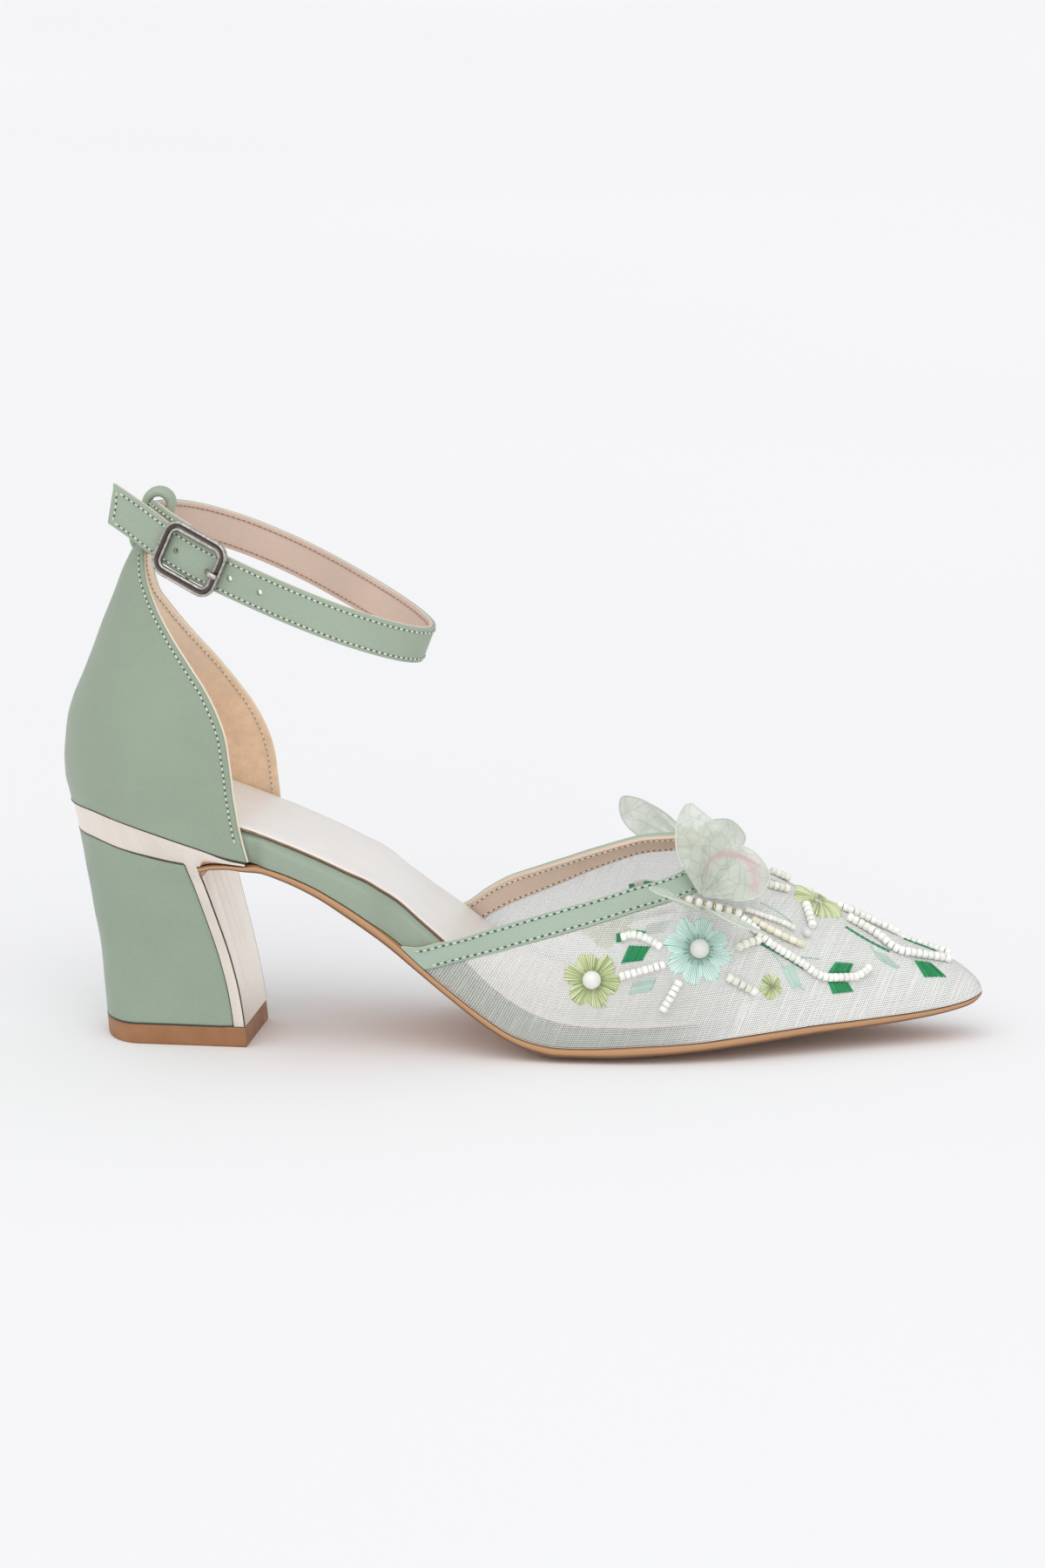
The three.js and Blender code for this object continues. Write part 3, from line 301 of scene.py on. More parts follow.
def tube_rings(path, radius, k=8, normal=None, flat=1.0):
    """Rings round a path; normal gives the direction that flat squeezes."""
    path = np.asarray(path, float)
    t = tangents(path)
    if normal is None:
        ref = np.where(np.abs(t[:, 2:3]) < 0.9, np.array([[0, 0, 1.0]]), np.array([[1.0, 0, 0]]))
        ref = np.broadcast_to(ref, t.shape)
        # keep one reference along the whole path
        ref = np.broadcast_to(ref[len(ref) // 2], t.shape)
    else:
        ref = np.broadcast_to(np.asarray(normal, float), t.shape)
    n1 = unit(ref - t * (ref * t).sum(-1, keepdims=True))
    n2 = np.cross(t, n1)
    a = np.arange(k) / k * 2 * math.pi
    r = np.broadcast_to(np.asarray(radius, float), (len(path),))
    return path[:, None] + r[:, None, None] * (flat * np.cos(a)[None, :, None] * n1[:, None]
                                               + np.sin(a)[None, :, None] * n2[:, None])


class Batch:
    """Many small closed forms joined in one mesh, each with its own tone."""

    def __init__(self):
        self.v, self.f, self.tone, self.extra, self.count = [], [], [], [], 0

    def add(self, rings, loop=False, tone=None, extra=None):
        rings = np.asarray(rings, float)
        n, k = rings.shape[:2]
        self.f += rings_faces(n, k, loop, start=self.count)
        self.v.append(rings.reshape(-1, 3))
        self.tone.append(np.full(n * k, rng.random() if tone is None else tone))
        self.extra.append(np.zeros(n * k) if extra is None else np.broadcast_to(
            np.asarray(extra, float)[:, None], (n, k)).ravel() if np.ndim(extra) == 1 else np.asarray(extra, float).ravel())
        self.count += n * k

    def add_mesh(self, verts, faces, tone=0.5, extra=None):
        verts = np.asarray(verts, float).reshape(-1, 3)
        self.f += [[int(i) + self.count for i in f] for f in faces]
        self.v.append(verts)
        self.tone.append(np.broadcast_to(np.asarray(tone, float), (len(verts),)).copy())
        self.extra.append(np.zeros(len(verts)) if extra is None else np.asarray(extra, float).ravel())
        self.count += len(verts)

    def make(self, name, mat, slot, **kw):
        return make(name, np.concatenate(self.v), self.f, mat, slot,
                    attrs={"tone": np.concatenate(self.tone), "extra": np.concatenate(self.extra)}, weld=False, **kw)


def solids(batch, profile, centres, axes, k=12, scale=1.0, normals=None, squash=1.0):
    """Turned solids (beads, pearls) with one profile of (along, radius)."""
    profile = np.asarray(profile, float)
    a = np.arange(k) / k * 2 * math.pi
    for i, (c, ax) in enumerate(zip(centres, axes)):
        ax = np.asarray(ax, float) / max(np.linalg.norm(ax), 1e-9)
        ref = np.asarray(normals[i], float) if normals is not None else np.array([0, 0, 1.0])
        if abs(ref @ ax) > 0.95:
            ref = np.array([1.0, 0.2, 0])
        n1 = unit(ref - ax * (ref @ ax))
        n2 = np.cross(ax, n1)
        s = scale if np.ndim(scale) == 0 else scale[i]
        ring = c + s * (profile[:, 0][:, None, None] * ax + profile[:, 1][:, None, None]
                        * (squash * np.cos(a)[None, :, None] * n1 + np.sin(a)[None, :, None] * n2))
        batch.add(ring)


SPHERE = [(-math.cos(t), max(math.sin(t), 0.02)) for t in np.linspace(0, math.pi, 13)]
SEED = [(-0.42, 0.22), (-0.5, 0.48), (-0.47, 0.8), (-0.3, 0.97), (0, 1.02), (0.3, 0.97), (0.47, 0.8), (0.5, 0.48), (0.42, 0.22)]


def stitch_row(batch, path, normals, pitch, length, radius, sink=0.25, start=0.5):
    """A row of threads that dive into the leather at their ends."""
    path, normals = np.asarray(path, float), np.asarray(normals, float)
    at = np.concatenate([[0], np.cumsum(np.linalg.norm(np.diff(path, axis=0), axis=1))])
    total = at[-1]
    count = max(int(total / pitch), 1)
    pitch = total / count
    ts = np.array([-1, -0.86, -0.5, 0, 0.5, 0.86, 1])
    rad = np.array([0.45, 0.85, 1, 1.04, 1, 0.85, 0.45]) * radius
    down = np.abs(ts) ** 5
    for i in range(count):
        mid = (i + start) * pitch
        d = np.clip(mid + ts * length / 2, 0, total)
        if d[-1] - d[0] < length * 0.6:
            continue
        p = np.stack([np.interp(d, at, path[:, j]) for j in range(3)], -1)
        n = unit(np.stack([np.interp(d, at, normals[:, j]) for j in range(3)], -1))
        p = p + n * (radius * (1 - sink) - down * radius * 1.5)[:, None]
        t = unit(np.gradient(p, axis=0))
        n1 = unit(n - t * (n * t).sum(-1, keepdims=True))
        n2 = np.cross(t, n1)
        a = np.arange(6) / 6 * 2 * math.pi
        ring = p[:, None] + rad[:, None, None] * (np.cos(a)[None, :, None] * n1[:, None] + np.sin(a)[None, :, None] * n2[:, None])
        batch.add(ring)


def both_rows(name, rows, pitch, length, radius, light, dark, slot="sage_leather"):
    """Threads in one mesh; the holes between them, painted dark as shade, in another."""
    threads, shade_holes = Batch(), Batch()
    for path, normals in rows:
        stitch_row(threads, path, normals, pitch, length, radius)
        stitch_row(shade_holes, path, normals, pitch, pitch * 0.46, radius * 1.15, sink=0.72, start=0.0)
    threads.make(name, light, slot)
    shade_holes.make(name + "_hole_shade", dark, slot)


# ---------------------------------------------------------------- materials
def c(r, g, b, k=1.0):
    out = []
    for v in (r, g, b):
        v = v / 255
        out.append((v / 12.92 if v <= 0.04045 else ((v + 0.055) / 1.055) ** 2.4) * k)
    return (*out, 1.0)


class Look:
    """A procedural finish built round one Principled shader."""

    def __init__(self, name, rough=0.5, metal=0.0, **sockets):
        self.mat = bpy.data.materials.new(name)
        self.mat.use_nodes = True
        self.t = self.mat.node_tree
        self.t.nodes.clear()
        self.bsdf = self.t.nodes.new("ShaderNodeBsdfPrincipled")
        out = self.t.nodes.new("ShaderNodeOutputMaterial")
        self.t.links.new(self.bsdf.outputs[0], out.inputs[0])
        self.set("Roughness", rough)
        self.set("Metallic", metal)
        for k, v in sockets.items():
            self.set(k.replace("_", " "), v)
        self._object = None

    def set(self, key, v):
        sock = self.bsdf.inputs[key]
        if isinstance(v, bpy.types.NodeSocket):
            self.t.links.new(v, sock)
        else:
            sock.default_value = v
        return self

    def node(self, kind, props=None, **inputs):
        n = self.t.nodes.new("ShaderNode" + kind)
        for k, v in (props or {}).items():
            setattr(n, k, v)
        for k, v in inputs.items():
            sock = n.inputs[int(k[1:])] if k[0] == "i" and k[1:].isdigit() else n.inputs[k.replace("_", " ")]
            if isinstance(v, bpy.types.NodeSocket):
                self.t.links.new(v, sock)
            else:
                sock.default_value = v
        return n

    def place(self):
        if self._object is None:
            self._object = self.node("TexCoord").outputs["Object"]
        return self._object

    def scaled(self, x, y, z, vec=None):
        return self.node("Mapping", None, i0=vec or self.place(), Scale=(x, y, z)).outputs[0]

    def attr(self, name):
        return self.node("Attribute", {"attribute_name": name}).outputs["Fac"]

    def math(self, op, a, b=0.0, clamp=False):
        return self.node("Math", {"operation": op, "use_clamp": clamp}, i0=a, i1=b).outputs[0]

    def xyz(self, x, y, z=0.0):
        return self.node("CombineXYZ", None, i0=x, i1=y, i2=z).outputs[0]

    def noise(self, scale, detail=3.0, rough=0.5, vec=None):
        return self.node("TexNoise", None, Vector=vec or self.place(), Scale=scale, Detail=detail, Roughness=rough).outputs[0]

    def cells(self, scale, vec=None, feature="F1"):
        return self.node("TexVoronoi", {"feature": feature}, Vector=vec or self.place(), Scale=scale).outputs[0]

    def ramp(self, fac, stops, mode="LINEAR"):
        n = self.node("ValToRGB", None, Fac=fac)
        n.color_ramp.interpolation = mode
        e = n.color_ramp.elements
        while len(e) > 1:
            e.remove(e[-1])
        e[0].position, e[0].color = stops[0][0], stops[0][1]
        for p, col in stops[1:]:
            k = e.new(p)
            k.color = col
        return n.outputs[0]

    def grey(self, fac, stops, mode="LINEAR"):
        return self.ramp(fac, [(p, (v, v, v, 1)) for p, v in stops], mode)

    def mix(self, fac, a, b, blend="MIX"):
        return self.node("Mix", {"data_type": "RGBA", "blend_type": blend}, i0=fac, i6=a, i7=b).outputs[2]

    def bump(self, height, dist, strength=1.0, after=None):
        n = self.node("Bump", None, Height=height, Distance=dist, Strength=strength)
        if after is not None:
            self.t.links.new(after, n.inputs["Normal"])
        return n.outputs[0]


def shades(rgb, spread=0.06):
    """Darker, middle and lighter version of one colour."""
    col = c(*rgb)
    return [tuple([v * (1 + s) for v in col[:3]] + [1]) for s in (-spread, 0, spread)]


def leather(name, rgb, rough=0.42, spread=0.05, grain=0.35, coat=0.0):
    k = Look(name, Coat_Weight=coat, Coat_Roughness=0.35, Specular_IOR_Level=0.42)
    dark, mid, light = shades(rgb, spread)
    cloud = k.noise(34, 4, 0.55)
    base = k.ramp(cloud, [(0.3, dark), (0.5, mid), (0.7, light)])
    fine = k.noise(2600, 2, 0.5)
    base = k.mix(0.05, base, k.grey(fine, [(0.3, 0.0), (0.7, 1.0)]), "OVERLAY")
    k.set("Base Color", base)
    pores = k.cells(1500)
    wrinkle = k.noise(420, 5, 0.62)
    n = k.bump(pores, 0.00005, grain * 0.7)
    n = k.bump(wrinkle, 0.00022, grain * 0.5, n)
    n = k.bump(k.noise(46, 3, 0.5), 0.0012, 0.10, n)
    k.set("Normal", n)
    k.set("Roughness", k.grey(k.noise(160, 4), [(0.25, rough - 0.05), (0.75, rough + 0.06)]))
    return k.mat


SAGE = (148, 162, 143)
sage = leather("sage_leather_counter", SAGE, 0.40)
sage_heel = leather("sage_leather_heel", (146, 162, 143), 0.40)
sage_board = leather("sage_leather_board", (149, 163, 145), 0.34, coat=0.15)
sage_strap = leather("sage_leather_strap", (158, 172, 154), 0.46)
sage_band = leather("sage_leather_band", (163, 180, 164), 0.45)
lining_pink = leather("lining_pink", (212, 190, 176), 0.62, 0.07, 0.5)
lining_brown = leather("lining_brown", (228, 203, 184), 0.6, 0.07, 0.5)


def suede(name, rgb):
    k = Look(name, 0.92, Sheen_Weight=0.5, Sheen_Roughness=0.5, Specular_IOR_Level=0.15)
    dark, mid, light = shades(rgb, 0.13)
    nap = k.noise(380, 6, 0.7)
    cloud = k.noise(55, 4, 0.6)
    both = k.math("ADD", k.math("MULTIPLY", nap, 0.55), k.math("MULTIPLY", cloud, 0.45))
    # painted light: the suede is paled towards the top of the counter lining, where the extra attribute rises
    wear_and_painted_light = k.grey(k.attr("extra"), [(0.0, 0.0), (1.0, 0.85)])
    k.set("Base Color", k.mix(wear_and_painted_light, k.ramp(both, [(0.36, dark), (0.5, mid), (0.63, light)]), c(255, 240, 222)))
    k.set("Normal", k.bump(k.noise(1700, 4, 0.7), 0.00012, 0.8, k.bump(nap, 0.0003, 0.4)))
    return k.mat


peach = suede("peach_suede", (232, 201, 170))


def thread_look(name, rgb, spread=0.1, gloss=0.45, per_mm=4000.0):
    k = Look(name, gloss, Sheen_Weight=0.3, Sheen_Roughness=0.4)
    dark, mid, light = shades(rgb, spread)
    k.set("Base Color", k.ramp(k.math("ADD", k.math("MULTIPLY", k.attr("tone"), 0.6), k.math("MULTIPLY", k.noise(900, 3), 0.4)),
                               [(0.2, dark), (0.5, mid), (0.8, light)]))
    k.set("Normal", k.bump(k.noise(per_mm, 2), 0.00008, 0.7))
    return k.mat


cream_thread = thread_look("thread_cream", (222, 225, 208))
pale_green_thread = thread_look("thread_pale_green", (205, 218, 200))
# painted shade: dark sunk marks in the stitch holes
hole_shade = thread_look("stitch_hole_shade", (62, 88, 72))
seam_shade_line = thread_look("seam_shadow", (62, 56, 46))
cream_edge = thread_look("cream_edge", (235, 226, 204), 0.05, 0.6)
green_edge = thread_look("green_edge", (150, 166, 146), 0.05, 0.5)
brown_edge = thread_look("brown_edge", (150, 112, 84), 0.08, 0.6)


def satin_look(name, dark, mid, light, gloss=0.38):
    """Embroidery silk: the extra attribute counts the threads."""
    k = Look(name, gloss, Sheen_Weight=0.35, Sheen_Roughness=0.35, Anisotropic=0.3)
    t = k.attr("extra")
    groove = k.math("ABSOLUTE", k.math("SINE", k.math("MULTIPLY", t, math.pi)))
    var = k.noise(1.7, 2, 0.6, k.xyz(t, k.attr("tone")))
    col = k.ramp(var, [(0.38, c(*dark)), (0.48, c(*mid)), (0.6, c(*light))])
    # painted shade: the grooves between the satin threads are darkened
    groove_shade = k.math("POWER", k.math("SUBTRACT", 1.0, groove), 1.6)
    col = k.mix(k.math("MULTIPLY", groove_shade, 0.7), col, c(*[v * 0.84 for v in dark]))
    k.set("Base Color", col)
    k.set("Normal", k.bump(groove, 0.00012, 0.6, k.bump(k.noise(3000, 2), 0.00004, 0.5)))
    return k.mat


satin_lime = satin_look("satin_lime", (154, 174, 104), (208, 219, 166), (238, 243, 210))
satin_aqua = satin_look("satin_aqua", (164, 222, 206), (222, 247, 239), (248, 254, 252))
satin_green = satin_look("satin_green", (4, 108, 58), (16, 160, 92), (64, 200, 136))
satin_mint = satin_look("satin_mint", (176, 212, 198), (206, 230, 220), (224, 238, 230))
aqua_tick = thread_look("aqua_tick", (118, 174, 154))


def mesh_fabric():
    """Sheer linen: fine level threads and leaning threads with slubs, open between the threads."""
    k = Look("sheer_linen", 0.8, Sheen_Weight=0.2, Sheen_Roughness=0.5, Specular_IOR_Level=0.2)
    u, v, inner, board_shade = k.attr("su"), k.attr("sv"), k.attr("inner"), k.attr("board_shade")
    lean_u = k.math("ADD", u, k.math("MULTIPLY", v, -0.42))
    wob = k.noise(0.35, 2, 0.5, k.xyz(u, v))
    level = k.math("SINE", k.math("ADD", k.math("MULTIPLY", v, 2 * math.pi / 0.55), k.math("MULTIPLY", wob, 3.0)))
    cross = k.math("SINE", k.math("ADD", k.math("MULTIPLY", lean_u, 2 * math.pi / 0.55), k.math("MULTIPLY", wob, 3.0)))
    slub_v = k.noise(1.0, 2, 0.5, k.xyz(k.math("MULTIPLY", u, 0.07), k.math("MULTIPLY", v, 1.9)))
    slub_u = k.noise(1.0, 2, 0.6, k.xyz(k.math("MULTIPLY", lean_u, 1.5), k.math("MULTIPLY", v, 0.07), 5.0))
    a = k.math("ADD", k.math("MULTIPLY", level, 0.5), 0.5)
    b = k.math("ADD", k.math("MULTIPLY", cross, 0.5), 0.5)
    weave = k.math("MAXIMUM", a, b)
    slub = k.grey(slub_u, [(0.52, 0.0), (0.68, 1.0)])
    tone = k.math("ADD", k.math("MULTIPLY", weave, 0.50),
                  k.math("ADD", k.math("MULTIPLY", slub_u, 0.30), k.math("MULTIPLY", slub_v, 0.20)))
    light = k.ramp(tone, [(0.36, c(176, 179, 169)), (0.50, c(228, 229, 222)), (0.65, c(252, 252, 250))])
    light = k.mix(k.math("MULTIPLY", slub, 0.75), light, c(250, 250, 248))
    # painted shade: low down towards the heel the linen is multiplied darker where the insole board stands behind it
    low = k.mix(0.9, light, c(208, 211, 203), "MULTIPLY")
    k.set("Base Color", k.mix(board_shade, light, low))
    k.set("Normal", k.bump(tone, 0.00025, 0.6, k.bump(weave, 0.00018, 0.55)))
    # single behind, lined over the toes
    lined = k.attr("lined")
    more = k.math("ADD", tone, k.math("MULTIPLY", slub, 0.2))
    single = k.grey(more, [(0.36, 0.20), (0.64, 0.62)])
    double = k.grey(more, [(0.36, 0.84), (0.60, 0.98)])
    k.set("Alpha", k.mix(inner, k.mix(lined, single, double), k.mix(lined, (0.08, 0.08, 0.08, 1), (0.9, 0.9, 0.9, 1))))
    return k.mat


linen = mesh_fabric()


def metal(name, rgb, rough, dark, stretch=(20, 60, 900)):
    k = Look(name, rough, 1.0)
    brushed = k.noise(1.0, 3, 0.6, k.scaled(*stretch))
    cloud = k.noise(40, 3, 0.5)
    k.set("Base Color", k.ramp(k.math("ADD", k.math("MULTIPLY", brushed, 0.6), k.math("MULTIPLY", cloud, 0.4)),
                               [(0.3, c(*dark)), (0.5, c(*rgb)), (0.72, c(*[min(v + 10, 255) for v in rgb]))]))
    k.set("Roughness", k.grey(brushed, [(0.3, rough - 0.06), (0.7, rough + 0.09)]))
    k.set("Normal", k.bump(brushed, 0.00003, 0.3, k.bump(cloud, 0.0002, 0.12)))
    return k.mat


champagne = metal("champagne_metal", (237, 228, 217), 0.30, (226, 215, 203), (30, 500, 14))
champagne_breast = metal("champagne_breast", (246, 238, 228), 0.36, (238, 228, 216), (30, 500, 14))


def buckle_look():
    k = Look("antique_silver", 0.3, 1.0)
    wear_and_painted_light = k.noise(1100, 4, 0.6)
    groove = k.attr("extra")
    base = k.ramp(wear_and_painted_light, [(0.3, c(150, 143, 138)), (0.6, c(206, 199, 193))])
    k.set("Base Color", k.mix(k.math("MULTIPLY", groove, 0.9), base, c(70, 64, 60)))
    k.set("Roughness", k.grey(wear_and_painted_light, [(0.3, 0.22), (0.7, 0.42)]))
    k.set("Normal", k.bump(wear_and_painted_light, 0.00006, 0.4))
    return k.mat


silver = buckle_look()


def sock_look():
    k = Look("sock_kid", 0.36, Coat_Weight=0.1, Coat_Roughness=0.3)
    cloud = k.noise(30, 4, 0.55)
    k.set("Base Color", k.ramp(cloud, [(0.3, c(236, 231, 227)), (0.5, c(241, 237, 233)), (0.7, c(245, 242, 239))]))
    k.set("Normal", k.bump(k.noise(900, 4, 0.6), 0.00012, 0.3, k.bump(k.noise(60, 3), 0.0010, 0.14)))
    return k.mat


sock_mat = sock_look()


def sole_edge_look():
    k = Look("sole_edge", 0.42, Coat_Weight=0.1)
    v = k.attr("extra")
    col = k.ramp(v, [(0.0, c(146, 108, 74)), (0.12, c(198, 156, 114)), (0.62, c(184, 136, 94)), (0.80, c(120, 84, 56)), (1.0, c(84, 60, 42))])
    streak = k.noise(1.0, 3, 0.6, k.scaled(60, 60, 2200))
    k.set("Base Color", k.mix(k.math("MULTIPLY", streak, 0.3), col, c(140, 100, 68)))
    k.set("Normal", k.bump(streak, 0.00012, 0.4))
    return k.mat


def sole_under_look():
    k = Look("sole_under", 0.55)
    cloud = k.noise(70, 5, 0.6)
    k.set("Base Color", k.ramp(cloud, [(0.3, c(168, 120, 84)), (0.55, c(184, 136, 98)), (0.75, c(196, 150, 112))]))
    wear = k.noise(22, 3, 0.5)
    k.set("Roughness", k.grey(wear, [(0.35, 0.42), (0.7, 0.66)]))
    k.set("Normal", k.bump(k.noise(700, 5, 0.65), 0.0002, 0.5))
    return k.mat


def rubber_look():
    k = Look("top_piece_rubber", 0.5)
    cloud = k.noise(90, 4, 0.6)
    k.set("Base Color", k.ramp(cloud, [(0.3, c(142, 96, 60)), (0.55, c(155, 107, 70)), (0.78, c(168, 121, 82))]))
    k.set("Normal", k.bump(k.noise(1300, 4, 0.6), 0.00012, 0.5, k.bump(k.noise(1.0, 2, 0.5, k.scaled(50, 50, 1400)), 0.0001, 0.25)))
    k.set("Roughness", k.grey(k.noise(260, 4), [(0.3, 0.4), (0.7, 0.6)]))
    return k.mat


def organza_look(name, pale, green):
    """Stiff sheer silk: crossing fine threads and soft green clouds, with a pink band on the hind lobe."""
    k = Look(name, 0.5, Sheen_Weight=0.3, Sheen_Roughness=0.3, Specular_IOR_Level=0.3)
    u, v, pink = k.attr("su"), k.attr("sv"), k.attr("extra")
    threads = k.math("MULTIPLY", k.math("SINE", k.math("MULTIPLY", u, 2 * math.pi / 0.4)), k.math("SINE", k.math("MULTIPLY", v, 2 * math.pi / 0.4)))
    cloud = k.noise(0.22, 4, 0.6, k.xyz(u, v))
    veins = k.node("TexVoronoi", {"feature": "DISTANCE_TO_EDGE"}, Vector=k.xyz(u, v), Scale=0.3).outputs[0]
    col = k.ramp(cloud, [(0.34, c(*pale)), (0.62, c(*green))])
    col = k.mix(k.grey(veins, [(0.0, 0.5), (0.07, 0.0)]), col, c(176, 192, 178))
    col = k.mix(k.math("MULTIPLY", pink, 0.85, True), col, c(224, 176, 186))
    k.set("Base Color", col)
    k.set("Alpha", k.grey(k.math("ADD", k.math("MULTIPLY", threads, 0.2), cloud), [(0.3, 0.42), (0.75, 0.62)]))
    k.set("Normal", k.bump(threads, 0.00008, 0.4, k.bump(cloud, 0.0004, 0.25)))
    return k.mat


organza = organza_look("organza_front", (234, 235, 226), (212, 220, 206))
organza_pale = organza_look("organza_flat", (236, 236, 228), (220, 228, 216))


def pearl_look(name, a, b, rough=0.22):
    k = Look(name, rough, Coat_Weight=0.6, Coat_Roughness=0.12, Sheen_Weight=0.2, Specular_IOR_Level=0.6)
    t = k.math("ADD", k.math("MULTIPLY", k.attr("tone"), 0.55), k.math("MULTIPLY", k.noise(500, 3), 0.45))
    k.set("Base Color", k.ramp(t, [(0.25, c(*a)), (0.75, c(*b))]))
    k.set("Normal", k.bump(k.noise(1500, 3), 0.00003, 0.3))
    return k.mat


pearl = pearl_look("pearl", (214, 216, 210), (236, 236, 228))
seed_white = pearl_look("seed_bead", (236, 235, 227), (252, 251, 247), 0.3)
seed_clear = pearl_look("seed_bead_clear", (226, 227, 214), (246, 244, 233), 0.2)
seed_gold = pearl_look("seed_bead_gold", (222, 214, 186), (244, 240, 220), 0.22)
gold = metal("gold_rim", (214, 196, 150), 0.25, (150, 132, 92), (300, 300, 300))


# ---------------------------------------------------------------- topline band
def edge_rows(rows, n):
    a = np.array(rows, float)
    p = last(a[:, 0], a[:, 1])
    at = np.concatenate([[0], np.cumsum(np.linalg.norm(np.diff(p, axis=0), axis=1))])
    fx, ft = curve_of(at, a[:, 0]), curve_of(at, a[:, 1])
    s = np.linspace(0, at[-1], n + 1)
    return fx(s), np.clip(ft(s), 0, 180)


NB = 150
tx, tt = edge_rows(TOPLINE, NB)
lx, lt = edge_rows(LOWER, NB)
band_width = np.linalg.norm(last(tx, tt) - last(lx, lt), axis=-1)


def band_at(share, mm, d):
    s = share + mm / band_width
    return off_last(lerp(tx, lx, s), lerp(tt, lt, s), np.full(len(tx), d))


def band_layer(name, outline, mat, replaces=()):
    rings = np.stack([band_at(f, m, d) for f, m, d in outline], 1)
    return make(name, rings, rings_faces(len(rings), rings.shape[1]), mat, "sage_leather", replaces=replaces, sharp=50)


band_layer("topline_leather", slab(-0.55, 0.35, 0.3, 10), sage_band, ("topline_band",))
band_layer("topline_edge", slab(-0.78, -0.58, 0.1, 2, 2, e0=0.12, e1=-0.8), cream_edge)
band_layer("topline_lining", slab(-1.72, -0.8, 0.28, 8, e1=-0.15), lining_brown)


def band_path(share, mm, d, side):
    p = band_at(share, mm, d)
    s = share + mm / band_width
    n = last_normal(lerp(tx, lx, s), lerp(tt, lt, s)) * side
    return p[2:-2], n[2:-2]


both_rows("topline_stitches", [band_path(0, 1.15, 0.35, 1), band_path(1, -1.15, 0.35, 1)], 2.0, 1.15, 0.22,
          pale_green_thread, hole_shade)
both_rows("topline_lining_stitches", [band_path(0, 1.2, -1.72, -1), band_path(1, -1.2, -1.72, -1)], 1.6, 1.1, 0.17,
          cream_thread, thread_look("lining_hole_shade", (120, 92, 78)))

# ---------------------------------------------------------------- sheer front
low_x = curve_of([r[1] for r in LOWER], [r[0] for r in LOWER])


def upper_start(turn, gap):
    x = low_x(turn)
    s = np.where(turn < 90, 1.0, -1.0)
    edge = unit(last(low_x(turn + s), turn + s) - last(x, turn))
    go = unit(last(x + 0.5, turn) - last(x, turn))
    sine = np.maximum(np.linalg.norm(np.cross(go, edge), axis=-1), 0.12)
    return x + gap / sine * go[:, 0]


turns = np.linspace(0, 180, 145)
x0 = upper_start(turns, 0.1)
rows = np.linspace(0, 1, 110)
X = lerp(x0[:, None], 243.0, 1 - (1 - rows[None]) ** 1.35)
T = np.broadcast_to(turns[:, None], X.shape)
front_out = off_last(X, T, np.zeros_like(X))
front_in = off_last(X, T, np.full_like(X, -1.0))
fine_t = np.linspace(0, 180, 91)
xs_g = np.linspace(88, 243, 156)
G = last(xs_g[:, None], fine_t[None])
girth = np.concatenate([np.zeros((len(xs_g), 1)), np.cumsum(np.linalg.norm(np.diff(G, axis=1), axis=-1), axis=1)], 1)


def girth_at(x, t):
    i = np.clip((x - 88) / (243 - 88) * (len(xs_g) - 1), 0, len(xs_g) - 1.001)
    j = np.clip(t / 2, 0, 89.999)
    i0, j0 = i.astype(int), j.astype(int)
    fi, fj = i - i0, j - j0
    return (girth[i0, j0] * (1 - fi) * (1 - fj) + girth[i0 + 1, j0] * fi * (1 - fj)
            + girth[i0, j0 + 1] * (1 - fi) * fj + girth[i0 + 1, j0 + 1] * fi * fj)


g_near = girth_at(X, T)
g_far = girth_at(X, np.full_like(X, 180.0)) - g_near
sv = np.where(T <= 90, g_near, g_far)
board_top = sock_z(X) - 1.3
# painted shade of the insole board behind the linen, below the board's top and fading out towards the toe
board_shade = 0.5 * (1 - smooth(-0.3, 0.5, front_out[..., 2] - board_top)) * (1 - smooth(0, 26, front_out[..., 0] - 146))
verts, faces = wall(front_out, front_in)
make("sheer_front", verts, faces, linen, "mesh", attrs={
    "su": np.concatenate([X.ravel(), X.ravel()]), "sv": np.concatenate([sv.ravel(), sv.ravel()]),
    "board_shade": np.concatenate([board_shade.ravel(), board_shade.ravel()]),
    "inner": np.concatenate([np.zeros(X.size), np.ones(X.size)]),
    "lined": np.tile(smooth(0, 24, X - 160).ravel(), 2)}, replaces=("vamp",), sharp=60)

# ---------------------------------------------------------------- counter
C_TOP = 130.9
zs_c = np.linspace(48, C_TOP, 400)
frac = np.concatenate([[0, 0.004, 0.010, 0.018, 0.03, 0.045], np.linspace(0.065, 1, 44)])
side_frac = 1 - frac[::-1]  # from the back (0) to the front edge (1)


def counter_table(inset):
    """Section points for every height: columns from the lateral front edge round the back."""
    out = np.zeros((len(zs_c), 2 * len(side_frac) - 1, 3))
    lengths = np.zeros((len(zs_c), 2))
    for i, z in enumerate(zs_c):
        back, b, a = c_back(z) + inset, c_half(z) - inset, 36 - inset
        parts = []
        for s, (sign, end) in enumerate(((-1, c_near(z)), (1, c_far(z)))):
            te = math.acos(max(0.0, min(1.0, 1 - (end - back) / a)))
            t = np.linspace(0, te, 80)
            x = back + a * (1 - np.cos(t))
            y = centre(x) + c_shift(z) + sign * b * np.sin(t)
            if end > back + a:
                xx = np.linspace(back + a + 0.5, end, 10)
                x = np.concatenate([x, xx])
                y = np.concatenate([y, centre(xx) + c_shift(z) + sign * b])
            at = np.concatenate([[0], np.cumsum(np.hypot(np.diff(x), np.diff(y)))])
            d = side_frac * at[-1]
            lengths[i, s] = at[-1]
            parts.append(np.stack([np.interp(d, at, x), np.interp(d, at, y), np.full(len(d), z)], -1))
        out[i] = np.concatenate([parts[0][::-1], parts[1][1:]])
    return out, lengths


tables = {}


